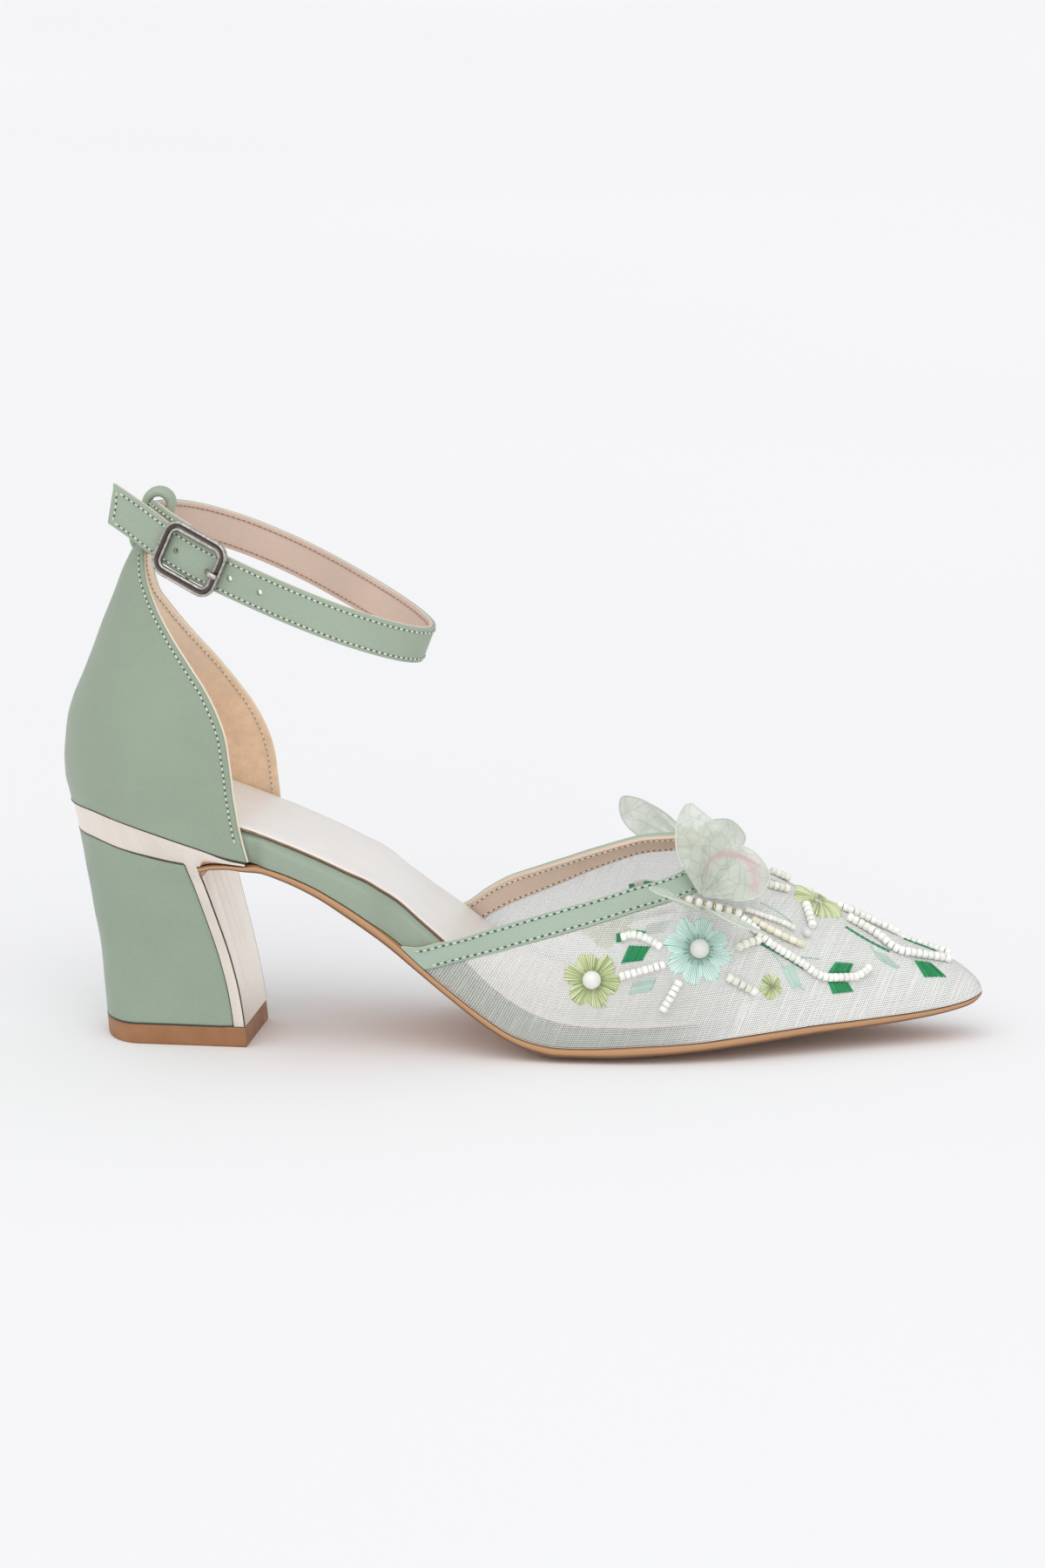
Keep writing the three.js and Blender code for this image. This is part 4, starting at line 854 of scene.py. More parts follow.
def counter_grid(inset, rows, top=C_TOP, lift=0.0, rim=0.0, shape=None):
    """Grid of rows by columns; rim rounds the surface in towards its front and top edges."""
    if inset not in tables:
        tables[inset] = counter_table(inset)
    table, lengths = tables[inset]
    foot_z = np.interp(np.full(1, 56.0), zs_c, np.arange(len(zs_c)))[0]
    foot_row = table[int(round(foot_z))]
    foot = feather(foot_row[:, 0]) + GAP + lift
    z = lerp(foot[None], top, rows[:, None])
    i = np.interp(z, zs_c, np.arange(len(zs_c)))
    i0 = np.minimum(i.astype(int), len(zs_c) - 2)
    f = (i - i0)[..., None]
    j = np.broadcast_to(np.arange(table.shape[1])[None], z.shape)
    p = table[i0, j] * (1 - f) + table[i0 + 1, j] * f
    p[..., 2] = z
    if rim:
        m = len(side_frac) - 1
        side = np.where(np.arange(table.shape[1]) <= m, 0, 1)
        share = np.abs(np.concatenate([side_frac[::-1], side_frac[1:]]))
        length = lengths[np.clip(np.round(i).astype(int), 0, len(zs_c) - 1), side[None]]
        edge = (1 - share[None]) * length
        d = np.minimum(edge, (top - z) * 1.0)
        fall = bump_at(d, abs(rim)) * np.sign(rim)
        mid = np.stack([np.full_like(z, 30.0), centre(np.full_like(z, 30.0)), z], -1)
        inward = unit((mid - p) * [1, 1, 0])
        p = p + inward * fall[..., None]
    return p


rowc = np.concatenate([np.linspace(0, 0.96, 60), [0.975, 0.985, 0.992, 0.997, 1.0]])
o = counter_grid(0.0, rowc, rim=0.55)
i_ = counter_grid(1.05, rowc, rim=0.0)
v_, f_ = wall(o, i_)
make("counter_leather", v_, f_, sage, "sage_leather", replaces=("counter",), sharp=50)
lo_ = counter_grid(1.12, rowc, rim=0.0)
li_ = counter_grid(2.0, rowc, rim=-0.35)
v_, f_ = wall(lo_, li_)
# extra here is painted light, rising towards the top of the lining
make("counter_lining", v_, f_, peach, "sage_leather", {"extra": smooth(0, 50, v_[:, 2] - 72)}, sharp=50)
# rolled cream edge between leather and lining, up the near side, over the neck and down the far side
rim_grid = counter_grid(1.05, rowc)
rim_path = np.concatenate([rim_grid[:, 0], rim_grid[-1, 1:-1], rim_grid[::-1, -1]])
rim_path, _ = resample(rim_path, count=420)
piping = Batch()
piping.add(tube_rings(rim_path + np.array([0.02, 0, 0]), 0.36, 8, normal=(0.05, 1, 0.02)))
piping.make("counter_piping", cream_edge, "sage_leather")
# painted shade: a dark line along the foot of the counter
foot_seam = Batch()
foot_seam.add(tube_rings(o[0] - [0, 0, 0.1], 0.19, 6), tone=0.4)
foot_seam.make("counter_foot_seam_shade", seam_shade_line, "sage_leather")


def counter_line(inset, frac_mm, side):
    """A line on the counter a set distance in from its front edge, with its normals."""
    table, lengths = tables[inset]
    m = len(side_frac) - 1
    pts, nrm = [], []
    for zz in np.linspace(56.5, C_TOP - 1.2, 140):
        k = int(round(np.interp(zz, zs_c, np.arange(len(zs_c)))))
        row = table[k]
        line = row[:m + 1] if side < 0 else row[m:][::-1]
        at = np.concatenate([[0], np.cumsum(np.linalg.norm(np.diff(line, axis=0), axis=1))])
        p = np.array([np.interp(frac_mm, at, line[:, q]) for q in range(3)])
        q = np.array([np.interp(frac_mm + 1, at, line[:, r]) for r in range(3)])
        if zz < feather(p[0]) + 0.9:
            continue
        t = unit(q - p)
        n = np.array([-t[1], t[0], 0.0])
        if n[1] * side < 0:
            n = -n
        pts.append(p)
        nrm.append(n)
    return np.array(pts), np.array(nrm)


rows_c = [counter_line(0.0, 1.75, -1), counter_line(0.0, 1.75, 1)]
both_rows("counter_stitches", rows_c, 1.6, 0.95, 0.2, cream_thread, hole_shade)
rows_l = []
for side in (-1, 1):
    p, n = counter_line(2.0 if 2.0 in tables else 0.0, 1.6, side)
    rows_l.append((p - n * 0.12, -n))
both_rows("counter_lining_stitches", rows_l, 1.5, 1.05, 0.15, cream_thread, thread_look("peach_hole_shade", (172, 136, 106)))


# ---------------------------------------------------------------- insole board, sock, outsole
def room(x, z, side, clear):
    back, a = c_back(z) + 2.0 + clear, 36 - 2.0 - clear
    heel = (c_half(z) - 2.0 - clear) * arc((x - back) / a)
    opn = half(x) - 0.3
    h = half(x) * (1 - 0.4 / np.maximum(half(x), 8))
    lift = np.clip((z - feather(x)) / np.maximum(rise(x), 1), 0, 0.95)
    inside = h * np.sqrt(1 - lift ** 2) - lerp(1.75 + clear, 1.1 + clear + 0.15, smooth(108, 114, x)) \
        - 2.2 * smooth(205, 236, x) * lift
    start = np.where(side < 0, 53.4, 56.6)
    w = lerp(heel, opn, smooth(0, 4, x - start))
    return np.where(x > 80, lerp(w, inside, smooth(82, 91.5, x)), w)


def stations(a, b, n, ends=()):
    return np.unique(np.concatenate([np.linspace(a, b, n), np.asarray(ends, float)]))


sx = stations(4.6, 238, 150, (4.7, 5.0, 5.6, 6.6, 8, 10, 12, 14.5))
R_EDGE = 2.6
edge_mm = R_EDGE * (1 - np.cos(np.linspace(0, math.pi / 2, 8)))
across = np.concatenate([edge_mm, [4.5]])


def board(level, height):
    x = sx[:, None]
    cols = []
    for sgn, mm in [(-1, m) for m in across] + [(0, 0)] + [(1, m) for m in across[::-1]]:
        w = room(sx, level(sx), np.full(len(sx), sgn), GAP + 0.15)
        if sgn == 0:
            y, d = centre(sx), np.full(len(sx), R_EDGE)
        else:
            t = 1 - np.minimum(mm / np.maximum(w, 0.5), 0.995 - 0.02 * np.searchsorted(across, mm))
            y, d = centre(sx) + sgn * t * w, w * (1 - t)
        cols.append(np.stack([sx, y, height(sx, d)], -1))
    return np.stack(cols, 1)


b_top = board(lambda x: sock_z(x) - 2.1, lambda x, d: sock_z(x) - 1.3 - bump_at(d, R_EDGE))
b_low = board(lambda x: feather(x) + GAP, lambda x, d: feather(x) + GAP)
v_, f_ = wall(b_top, b_low)
make("insole_board", v_, f_, sage_board, "sage_leather", replaces=("insole",), sharp=60)

ssx = stations(5.4, 235, 130, (5.5, 5.8, 6.4, 7.2, 8.5, 10, 12, 14.5))


def sock_width(sgn):
    inner = room(ssx, sock_z(ssx), np.full(len(ssx), sgn), GAP + 0.2)
    plain = inner - 2.6 * smooth(0, 14, ssx - 50) * (1 - smooth(0, 34, ssx - 88))
    even = np.convolve(np.pad(plain, 9, mode="edge"), np.hanning(21)[1:-1] / np.hanning(21).sum(), "valid")
    return np.maximum(np.minimum(plain, lerp(plain, even, smooth(0, 6, ssx - 44))), 1)


def sock_sheet(up):
    cols = []
    for t, edge in [(-1, 0), (-1, .12), (-1, .3), (-1, .6), (-.8, 1), (-.4, 1), (0, 1), (.4, 1), (.8, 1), (1, .6), (1, .3), (1, .12), (1, 0)]:
        w = sock_width(-1 if t < 0 else 1)
        if abs(t) == 1:
            y = centre(ssx) + t * (w - edge)
            fall = bump_at(np.full(len(ssx), edge), 0.6)
        else:
            y, fall = centre(ssx) + t * w, 0 * ssx
        dish = 0.0
        z = sock_z(ssx) - fall - dish if up else sock_z(ssx) - 1.0 + 0 * ssx
        cols.append(np.stack([ssx, y, z], -1))
    return np.stack(cols, 1)


v_, f_ = wall(sock_sheet(True), sock_sheet(False))
make("sock", v_, f_, sock_mat, "sock", replaces=("sock_lining",), sharp=60)
lines = Batch()
for sgn in (-1, 1):
    w = sock_width(sgn)
    path = np.stack([ssx, centre(ssx) + sgn * (w - 0.02), sock_z(ssx) - 0.72], -1)
    path, _ = resample(path[6:], step=1.2)
    lines.add(tube_rings(path, 0.26, 6))
lines.make("sock_edge", brown_edge, "sock")

ox = stations(39.7, 243, 190, (40, 40.5, 242.3, 242.7, 242.9))
ta = np.concatenate([[-1, -0.997, -0.985, -0.96, -0.9], np.linspace(-0.8, 0.8, 13), [0.9, 0.96, 0.985, 0.997, 1]])


def sole_points(height):
    s, t = np.meshgrid(ox, ta, indexing="ij")
    x = s + (1.2 + 1.6 * t) * np.clip((51 - s) / (51 - 39.7), 0, 1)
    return np.stack([x, centre(x) + t * half(x), height(x, t)], -1)


s_top = sole_points(lambda x, t: feather(x) - sole_drop(x) - np.where(x < 55, 0.02, 0))
s_low = sole_points(lambda x, t: lerp(sole_middle(x), sole_edge(x), np.abs(t) ** 6))
# rounds of the welt edge: five levels down the side
levels = [0, 0.25, 0.5, 0.75, 1]
n, m = s_top.shape[:2]
ring_idx = [(i, 0) for i in range(n)] + [(n - 1, j) for j in range(1, m)] + [(i, m - 1) for i in range(n - 2, -1, -1)] + [(0, j) for j in range(m - 2, 0, -1)]
ri, rj = np.array([a for a, _ in ring_idx]), np.array([b for _, b in ring_idx])
side = []
top_ring, low_ring = s_top[ri, rj], s_low[ri, rj]
for lv in levels:
    ring = lerp(top_ring, low_ring, lv)
    bulge = 0.12 * math.sin(math.pi * lv)
    out = np.stack([0 * ring[:, 0], np.sign(ring[:, 1] - centre(ring[:, 0])), 0 * ring[:, 0]], -1)
    keep = smooth(243, 238, ring[:, 0])[:, None] if False else (1 - smooth(238, 243, ring[:, 0]))[:, None]
    side.append(ring + out * bulge * keep)
side = np.stack(side)
vv = np.concatenate([s_top.reshape(-1, 3), s_low.reshape(-1, 3), side.reshape(-1, 3)])
ff = grid_faces(n, m) + grid_faces(n, m, n * m, True)
fm = [1] * len(ff)
base, k = 2 * n * m, len(ring_idx)
for lv in range(len(levels) - 1):
    for q in range(k):
        a, b = base + lv * k + q, base + lv * k + (q + 1) % k
        ff.append([a, b, b + k, a + k])
        fm.append(0)
ext = np.concatenate([np.zeros(n * m), np.ones(n * m), np.repeat(levels, k)])
make("outsole_flap", vv, ff, sole_edge_look(), "outsole_edge", attrs={"extra": ext}, replaces=("outsole",), sharp=45,
     mats=[sole_under_look()], face_mat=fm)


# ---------------------------------------------------------------- heel
def heel_twist(x, z):
    return lerp(-5.6 - 0.07 * x, centre(x), smooth(33, 56, z))


def heel_outline(z, front, n, inset=0.0, corner=0.0):
    back, b, a = h_back(z) + inset, h_half(z) - inset, h_round(z) - inset
    sides = []
    for sign in (-1, 1):
        end = front + 0.065 * sign * b - inset * 0.5
        t = np.linspace(0, math.pi / 2, 60)
        x = back + a * (1 - np.cos(t))
        x = x[x < end]
        xs = np.concatenate([x, np.linspace(min(back + a, end - 0.6), end, 10)[1:]])
        xs = np.unique(xs)
        y = b * arc((xs - back) / a)
        if corner:  # soft corner where the cover turns onto the breast
            y = y - bump_at(end - xs, corner)
        line = np.stack([xs, heel_twist(xs, z) + sign * y, np.full(len(xs), z)], -1)
        at = np.concatenate([[0], np.cumsum(np.linalg.norm(np.diff(line, axis=0), axis=1))])
        f = np.linspace(0, 1, n) ** 0.85
        f = np.unique(np.concatenate([f, [1 - 0.6 / at[-1], 1 - 0.3 / at[-1], 1 - 0.12 / at[-1]]]))
        sides.append(np.stack([np.interp(f * at[-1], at, line[:, q]) for q in range(3)], -1))
    return np.concatenate([sides[0][::-1], sides[1][1:]])


NH = 44
TOPP = 5.3
rings = []
for z, inset in ((0, 0.45), (0.12, 0.2), (0.4, 0.05), (0.8, 0), (2.6, 0), (4.7, 0), (5.1, 0.06), (5.3, 0.2)):
    rings.append(heel_outline(z, h_breast(z), NH, inset))
rings = np.array(rings)
make("heel_top_piece", rings, rings_faces(*rings.shape[:2]), rubber_look(), "top_piece", replaces=("top_piece",), sharp=40)

block_front = lambda z: h_breast(z) - 2.8 - 0.22
seat_under = lambda x: feather(x) - seat_deep(x)
top_line = heel_outline(52, block_front(52), NH)
block_top = seat_under(np.minimum(top_line[:, 0], 36)) - 0.22
levels = np.concatenate([[0, 0.006, 0.015], np.linspace(0.04, 0.96, 36), [0.985, 0.994, 1]])
zgrid = np.linspace(5.4, 60, 220)
outlines = np.array([heel_outline(z, block_front(z), NH, corner=0.5) for z in zgrid])
cols = np.arange(outlines.shape[1])
rings = []
for s in levels:
    z = lerp(TOPP + 0.22, block_top, s)
    i = np.interp(z, zgrid, np.arange(len(zgrid)))
    i0 = np.minimum(i.astype(int), len(zgrid) - 2)
    f = (i - i0)[:, None]
    p = outlines[i0, cols] * (1 - f) + outlines[i0 + 1, cols] * f
    p[:, 2] = z
    inset = 0.35 * (bump_at(np.array(s * 45.0), 0.5) / 0.5 + bump_at(np.array((1 - s) * 45.0), 0.5) / 0.5)
    mid = np.stack([np.full(len(p), 28.0), heel_twist(28.0, z), z], -1)
    p = p + unit((mid - p) * [1, 1, 0]) * inset
    rings.append(p)
rings = np.array(rings)
make("heel_cover", rings, rings_faces(*rings.shape[:2]), sage_heel, "sage_leather", replaces=("heel_block",), sharp=50)
# painted shade: dark lines round the cover's joints, under the metal, along the metal edges and over the top piece
joints = Batch()
for edge, dz in ((rings[-1], 0.12), (rings[0], -0.1)):
    mid = np.stack([np.full(len(edge), 28.0), heel_twist(28.0, edge[:, 2]), edge[:, 2]], -1)
    joints.add(tube_rings(edge + unit((edge - mid) * [1, 1, 0]) * 0.24 + [0, 0, dz], 0.2, 6), tone=0.4)
for q in (0, -1):
    joints.add(tube_rings(rings[:, q] + [0.1, -0.1 if q == 0 else 0.1, 0], 0.2, 6), tone=0.4)
joints.make("heel_joint_shade_lines", seam_shade_line, "sage_leather")


def applied(o, *mods):
    """Bakes modifiers into the object's mesh."""
    dg = bpy.context.evaluated_depsgraph_get()
    me = bpy.data.meshes.new_from_object(o.evaluated_get(dg), depsgraph=dg)
    o.modifiers.clear()
    old = o.data
    o.data = me
    bpy.data.meshes.remove(old)
    return o


SEAT_S = np.concatenate([[0, 0.004, 0.012, 0.025, 0.045], np.linspace(0.07, 1, 44)])


def seat_grid(top):
    zm = 61 if top else 54.5
    back, b, a = h_back(zm) + 0.02, h_half(zm), h_round(zm)
    s, t = np.meshgrid(SEAT_S, np.concatenate([[-1, -0.98, -0.9], np.linspace(-0.7, 0.7, 7), [0.9, 0.98, 1]]), indexing="ij")
    x = lerp(back, 51.6, s)
    z = feather(x) - 0.02 if top else seat_under(x)
    bb = h_half(np.maximum(z, 49))
    y = lerp(heel_twist(x, z), centre(x), smooth(30, 40, x)) + t * lerp(bb, half(np.full_like(x, 50)), smooth(36, 50, x)) * arc((x - back) / a)
    return np.stack([x, y, z], -1)


v_, f_ = wall(seat_grid(True), seat_grid(False))
seat = make("heel_seat_metal", v_, f_, champagne, "champagne_metal", replaces=("heel_frame",), sharp=40)
prings, lat_line = [], []
for z in np.linspace(TOPP + 0.25, 51, 40):
    b = h_half(z) * arc((h_breast(z) - h_back(z)) / h_round(z))
    f = h_breast(z)
    ring = []
    for x0, sign in ((f - 2.8, -1), (f, -1), (f, 1), (f - 2.8, 1)):
        x = x0 + 0.065 * sign * b
        ring.append([x, heel_twist(x, z) + sign * b, z])
    prings.append(ring)
    lat_line.append((ring[1], ring[2]))
prings = np.array(prings)
panel = make("heel_panel_tmp", prings, rings_faces(*prings.shape[:2]), champagne, "champagne_metal", sharp=30)
mod = seat.modifiers.new("join", "BOOLEAN")
mod.operation, mod.solver, mod.object = "UNION", "EXACT", panel
bpy.context.view_layer.update()
applied(seat)
bpy.data.objects.remove(panel)
mod = seat.modifiers.new("edge", "BEVEL")
mod.width, mod.segments, mod.limit_method, mod.angle_limit = 0.00022, 2, "ANGLE", math.radians(40)
bpy.context.view_layer.update()
applied(seat)
seat.data.polygons.foreach_set("use_smooth", [True] * len(seat.data.polygons))
seat.data.set_sharp_from_angle(angle=math.radians(30))
# breast plate: thin polished sheet on the front of the frame
plate = []
for z in np.linspace(TOPP + 0.35, 46.6, 44):
    b = h_half(z) * arc((h_breast(z) - h_back(z)) / h_round(z))
    row = []
    for q in np.linspace(-1, 1, 15):
        x = h_breast(z) + 0.065 * q * b
        row.append([x + 0.0, heel_twist(x, z) + q * (b - 0.55), z])
    plate.append(row)
plate = np.array(plate)
v_, f_ = wall(plate + [0.22, 0, 0], plate - [0.25, 0, 0])
make("heel_breast_plate", v_, f_, champagne_breast, "champagne_metal", sharp=30)
# painted shade: dark lines down the side seams of the breast panel
seams = Batch()
for q in (0, 1):
    path = np.array([l[q] for l in lat_line])[:-3] + np.array([0.02, -0.02 if q == 0 else 0.02, 0])
    seams.add(tube_rings(path, 0.17, 6), tone=0.5)
seams.make("heel_seam_shade_lines", seam_shade_line, "champagne_metal")


# ---------------------------------------------------------------- ankle strap
def catmull(points, per=24):
    pts = np.asarray(points, float)
    out = []
    n = len(pts)
    for i in range(n - 1):
        p1, p2 = pts[i], pts[i + 1]
        p0 = pts[i - 1] if i > 0 else 2 * pts[0] - pts[1]
        p3 = pts[i + 2] if i + 2 < n else 2 * pts[-1] - pts[-2]
        d0, d1, d2 = (max(np.linalg.norm(q - p) ** 0.5, 1e-4) for p, q in ((p0, p1), (p1, p2), (p2, p3)))
        t1 = ((p1 - p0) / d0 - (p2 - p0) / (d0 + d1) + (p2 - p1) / d1) * d1
        t2 = ((p2 - p1) / d1 - (p3 - p1) / (d1 + d2) + (p3 - p2) / d2) * d1
        w = np.linspace(0, 1, per, endpoint=False)[:, None]
        out.append(p1 + t1 * w + (-3 * p1 + 3 * p2 - 2 * t1 - t2) * w ** 2 + (2 * p1 - 2 * p2 + t1 + t2) * w ** 3)
    out.append(pts[-1:])
    return np.concatenate(out)


s_up = unit(np.array([math.sin(math.radians(21)), -math.sin(math.radians(3)), math.cos(math.radians(21))]))


def ring_z(x, y):
    return 106.4 - (s_up[0] * (x - 97.2) + s_up[1] * (y + 14)) / s_up[2]


END_RISE = 4.8  # the free end turns up behind its buckle
strap_line, _ = resample(catmull([[x, y, ring_z(x, y) + (END_RISE * float(smooth(0, 28, 38 - x)) if i > 18 else (2.6, 3.1, 3.2, 1.6, 0.4)[i] if i < 5 else 0)]
                                  for i, (x, y) in enumerate(RING)], 40), count=420)
s_along = tangents(strap_line)
s_out = unit(np.cross(s_along, s_up))  # towards the ankle
s_upl = unit(np.cross(s_out, s_along))
s_at = np.concatenate([[0], np.cumsum(np.linalg.norm(np.diff(strap_line, axis=0), axis=1))])
S_LEN = s_at[-1]


def strap_point(w, o, extra_end=True):
    """Points along the whole strap: w across from its middle, o outwards from its middle layer."""
    w, o = np.broadcast_to(w, (len(strap_line),)), np.broadcast_to(o, (len(strap_line),))
    cut = 0.7 * (1 - (w / 4.9) ** 2) + 0.40 * (4.9 - w)
    near_end = smooth(0, 1, (s_at - (S_LEN - 10)) / 10)
    return strap_line + s_upl * w[:, None] - s_out * o[:, None] - s_along * (cut * near_end)[:, None]


def strap_layer(name, outline, mat, replaces=()):
    rings = np.stack([strap_point(-4.9 + 9.8 * f + m, d) for f, m, d in outline], 1)
    return make(name, rings, rings_faces(len(rings), rings.shape[1]), mat, "sage_leather", replaces=replaces, sharp=50)


strap_parts = [
    strap_layer("strap_leather", slab(-0.12, 0.9, 0.32, 12), sage_strap, ("ankle_strap",)),
    strap_layer("strap_edge", slab(-0.36, -0.12, 0.1, 2, 2, e0=0.05, e1=0.05), cream_edge),
    strap_layer("strap_lining", slab(-0.9, -0.36, 0.22, 12), lining_pink),
]


def cylinder(name, centre_mm, axis, r, depth):
    bm = bmesh.new()
    bmesh.ops.create_cone(bm, cap_ends=True, segments=28, radius1=r / 1000, radius2=r / 1000, depth=depth / 1000)
    me = bpy.data.meshes.new(name)
    bm.to_mesh(me)
    bm.free()
    o = bpy.data.objects.new(name, me)
    bpy.context.scene.collection.objects.link(o)
    o.rotation_mode = "QUATERNION"
    o.rotation_quaternion = Vector(axis).to_track_quat("Z", "Y")
    o.location = to_row(centre_mm)[0]
    return o


HOLES_X = [33.1, 47.7, 55.7]
outer_part = s_at > S_LEN * 0.72
rims = Batch()
for hx in HOLES_X:
    k = np.where(outer_part, np.abs(strap_line[:, 0] - hx), 1e9).argmin()
    cutter = cylinder("cutter", strap_line[k], s_out[k], 0.8, 6)
    bpy.context.view_layer.update()
    for part in strap_parts:
        mod = part.modifiers.new("hole", "BOOLEAN")
        mod.operation, mod.solver, mod.object = "DIFFERENCE", "EXACT", cutter
        bpy.context.view_layer.update()
        applied(part)
        part.data.polygons.foreach_set("use_smooth", [True] * len(part.data.polygons))
        part.data.set_sharp_from_angle(angle=math.radians(50))
    bpy.data.objects.remove(cutter)
    a = np.linspace(0, 2 * math.pi, 25)[:-1]
    circle = strap_line[k] - s_out[k] * 0.9 + 0.84 * (np.cos(a)[:, None] * s_along[k] + np.sin(a)[:, None] * s_upl[k])
    b = np.arange(6) / 6 * 2 * math.pi
    rad = np.cos(a)[:, None] * s_along[k] + np.sin(a)[:, None] * s_upl[k]
    ring = circle[:, None] + 0.1 * (np.cos(b)[None, :, None] * rad[:, None] - np.sin(b)[None, :, None] * s_out[k])
    rims.add(ring, loop=True)
rims.make("strap_hole_rims", green_edge, "sage_leather")


def strap_row(w, o, side, a=0.0, b=1.0):
    p = strap_point(w, o)
    pick = (s_at >= a * S_LEN) & (s_at <= b * S_LEN)
    return p[pick], (-s_out * side)[pick]


end_w = np.linspace(-3.75, 3.75, 12)
end_pts = np.array([strap_point(w, 0.9)[-1] - s_along[-1] * 1.15 for w in end_w])
both_rows("strap_stitches", [strap_row(-3.75, 0.9, 1, 0.004, 0.992), strap_row(3.75, 0.9, 1, 0.004, 0.992),
                             (end_pts, np.broadcast_to(-s_out[-1], end_pts.shape))],
          1.6, 0.95, 0.2, cream_thread, hole_shade)
both_rows("strap_lining_stitches", [strap_row(-3.75, -0.9, -1, 0.004, 0.99), strap_row(3.75, -0.9, -1, 0.004, 0.99)],
          1.5, 1.0, 0.17, thread_look("pink_thread", (186, 152, 136)), thread_look("pink_hole_shade", (140, 108, 94)))

# loop of rolled leather over the neck
L_SIDE = np.array([s_up[2], 0, -s_up[0]])
L_UP = unit(np.array([s_up[0], 0, s_up[2]]))
L_MID = np.array([24.1, -2.6, ring_z(24.1, -2.6)]) + 1.3 * L_UP


def loop_path(grow, y, n=72):
    r = 5.0 / 2 + grow
    straight = 14.6 / 2 + grow - r
    a = np.arange(n) / n * 2 * math.pi
    u, v = r * np.cos(a), r * np.sin(a) + np.sign(np.round(np.sin(a), 9)) * straight
    return L_MID + u[:, None] * L_SIDE + v[:, None] * L_UP + np.array([0, y, 0])


sec = []
for a in np.arange(28) / 28 * 2 * math.pi:  # puffed section of the folded band
    ca, sa = math.cos(a), math.sin(a)
    sec.append((0.55 + 1.05 * np.sign(sa) * abs(sa) ** 0.75 + 0.35 * max(sa, 0), 3.3 * np.sign(ca) * abs(ca) ** 0.55))
rings = np.stack([loop_path(g, y) for g, y in sec], 1)
make("strap_keeper", rings, rings_faces(len(rings), len(sec), loop=True), sage_strap, "sage_leather", replaces=("strap_loop",), sharp=60)
# buckle
pick = np.where(outer_part, np.abs(strap_line[:, 0] - 37.4), 1e9).argmin()
B0, BA, BU, BO = strap_line[pick], s_along[pick], s_upl[pick], -s_out[pick]
LIFT = 0.9 + 0.4 + 1.0


def local(a, u, o):
    return B0 + BA * a + BU * u + BO * o


def buckle_path(shift):
    """Rounded rectangle, moved outwards in its own plane."""
    a, b, r = (19.4 - 2.0) / 2 + shift, (15.4 - 2.0) / 2 + shift, max(4.2 - 1.0 + shift, 0.35)
    pts = []
    for sx_, sy_, frm in ((1, 1, 0), (-1, 1, 90), (-1, -1, 180), (1, -1, 270)):
        for k in np.linspace(0, 90, 9):
            t = math.radians(frm + k)
            pts.append((sx_ * (a - r) + r * math.cos(t), sy_ * (b - r) + r * math.sin(t)))
        # straight part
        t = math.radians(frm + 90)
        nx, ny = {0: (-1, 1), 90: (-1, -1), 180: (1, -1), 270: (1, 1)}[frm]
        e = (nx * (a - r) + r * math.cos(t), ny * (b - r) + r * math.sin(t))
        for q in (0.2, 0.4, 0.6, 0.8):
            pts.append((lerp(pts[-1][0], e[0], 0.25 if q < 0.8 else 0.3), lerp(pts[-1][1], e[1], 0.25 if q < 0.8 else 0.3)))
    return np.array(pts)


SECTION = [(0.98, -0.5, 0.2), (1.02, 0.2, 0), (0.9, 0.62, 0), (0.62, 0.78, 0), (0.36, 0.66, 0.3), (0.2, 0.3, 1), (-0.15, 0.12, 1),
           (-0.72, 0.25, 1), (-0.9, 0.55, 0.3), (-1.14, 0.7, 0), (-1.4, 0.6, 0), (-1.6, 0.3, 0.5), (-1.66, -0.2, 1), (-1.3, -0.7, 1), (0.5, -0.75, 0.6)]
rings = np.stack([np.array([local(p[0], p[1] + 0.45, LIFT + b) for p in buckle_path(a)]) for a, b, g in SECTION], 1)
bk = Batch()
bk.add(rings, loop=True, extra=np.broadcast_to(np.array([g for _, _, g in SECTION])[None], rings.shape[:2]))
low = -(0.9 + 0.25 + 0.6)
sd = 4.9 + 1.2
bar = catmull([local(0, v, o_) for v, o_ in ((sd, LIFT), (sd, 0.6), (sd, low + 0.5), (sd - 0.5, low), (0, low), (-sd + 0.5, low), (-sd, low + 0.5), (-sd, 0.6), (-sd, LIFT))], 6)
bk.add(tube_rings(bar, 0.55, 10, normal=BA), extra=np.full(len(bar), 0.3))
bk.make("buckle", silver, "buckle_metal", replaces=("buckle_frame",), sharp=60)
over = LIFT + 1.0 + 0.25 + 0.6
pp = catmull([local(a, -0.2, o_) for a, o_ in ((-5.2, 1.6), (-5.9, 2.5), (-6.7, 3.3), (-7.6, over - 0.4), (-8.5, over - 0.5), (-9.3, over - 0.95))], 8)
rad = np.interp(np.linspace(0, 1, len(pp)), [0, 0.1, 0.5, 0.85, 0.96, 1], [0.3, 0.75, 0.82, 0.8, 0.6, 0.15])
pr = Batch()
pr.add(tube_rings(pp, rad, 12, normal=BO, flat=0.8), extra=np.full(len(pp), 0.05))
pr.make("prong", silver, "buckle_metal", replaces=("buckle_prong",))


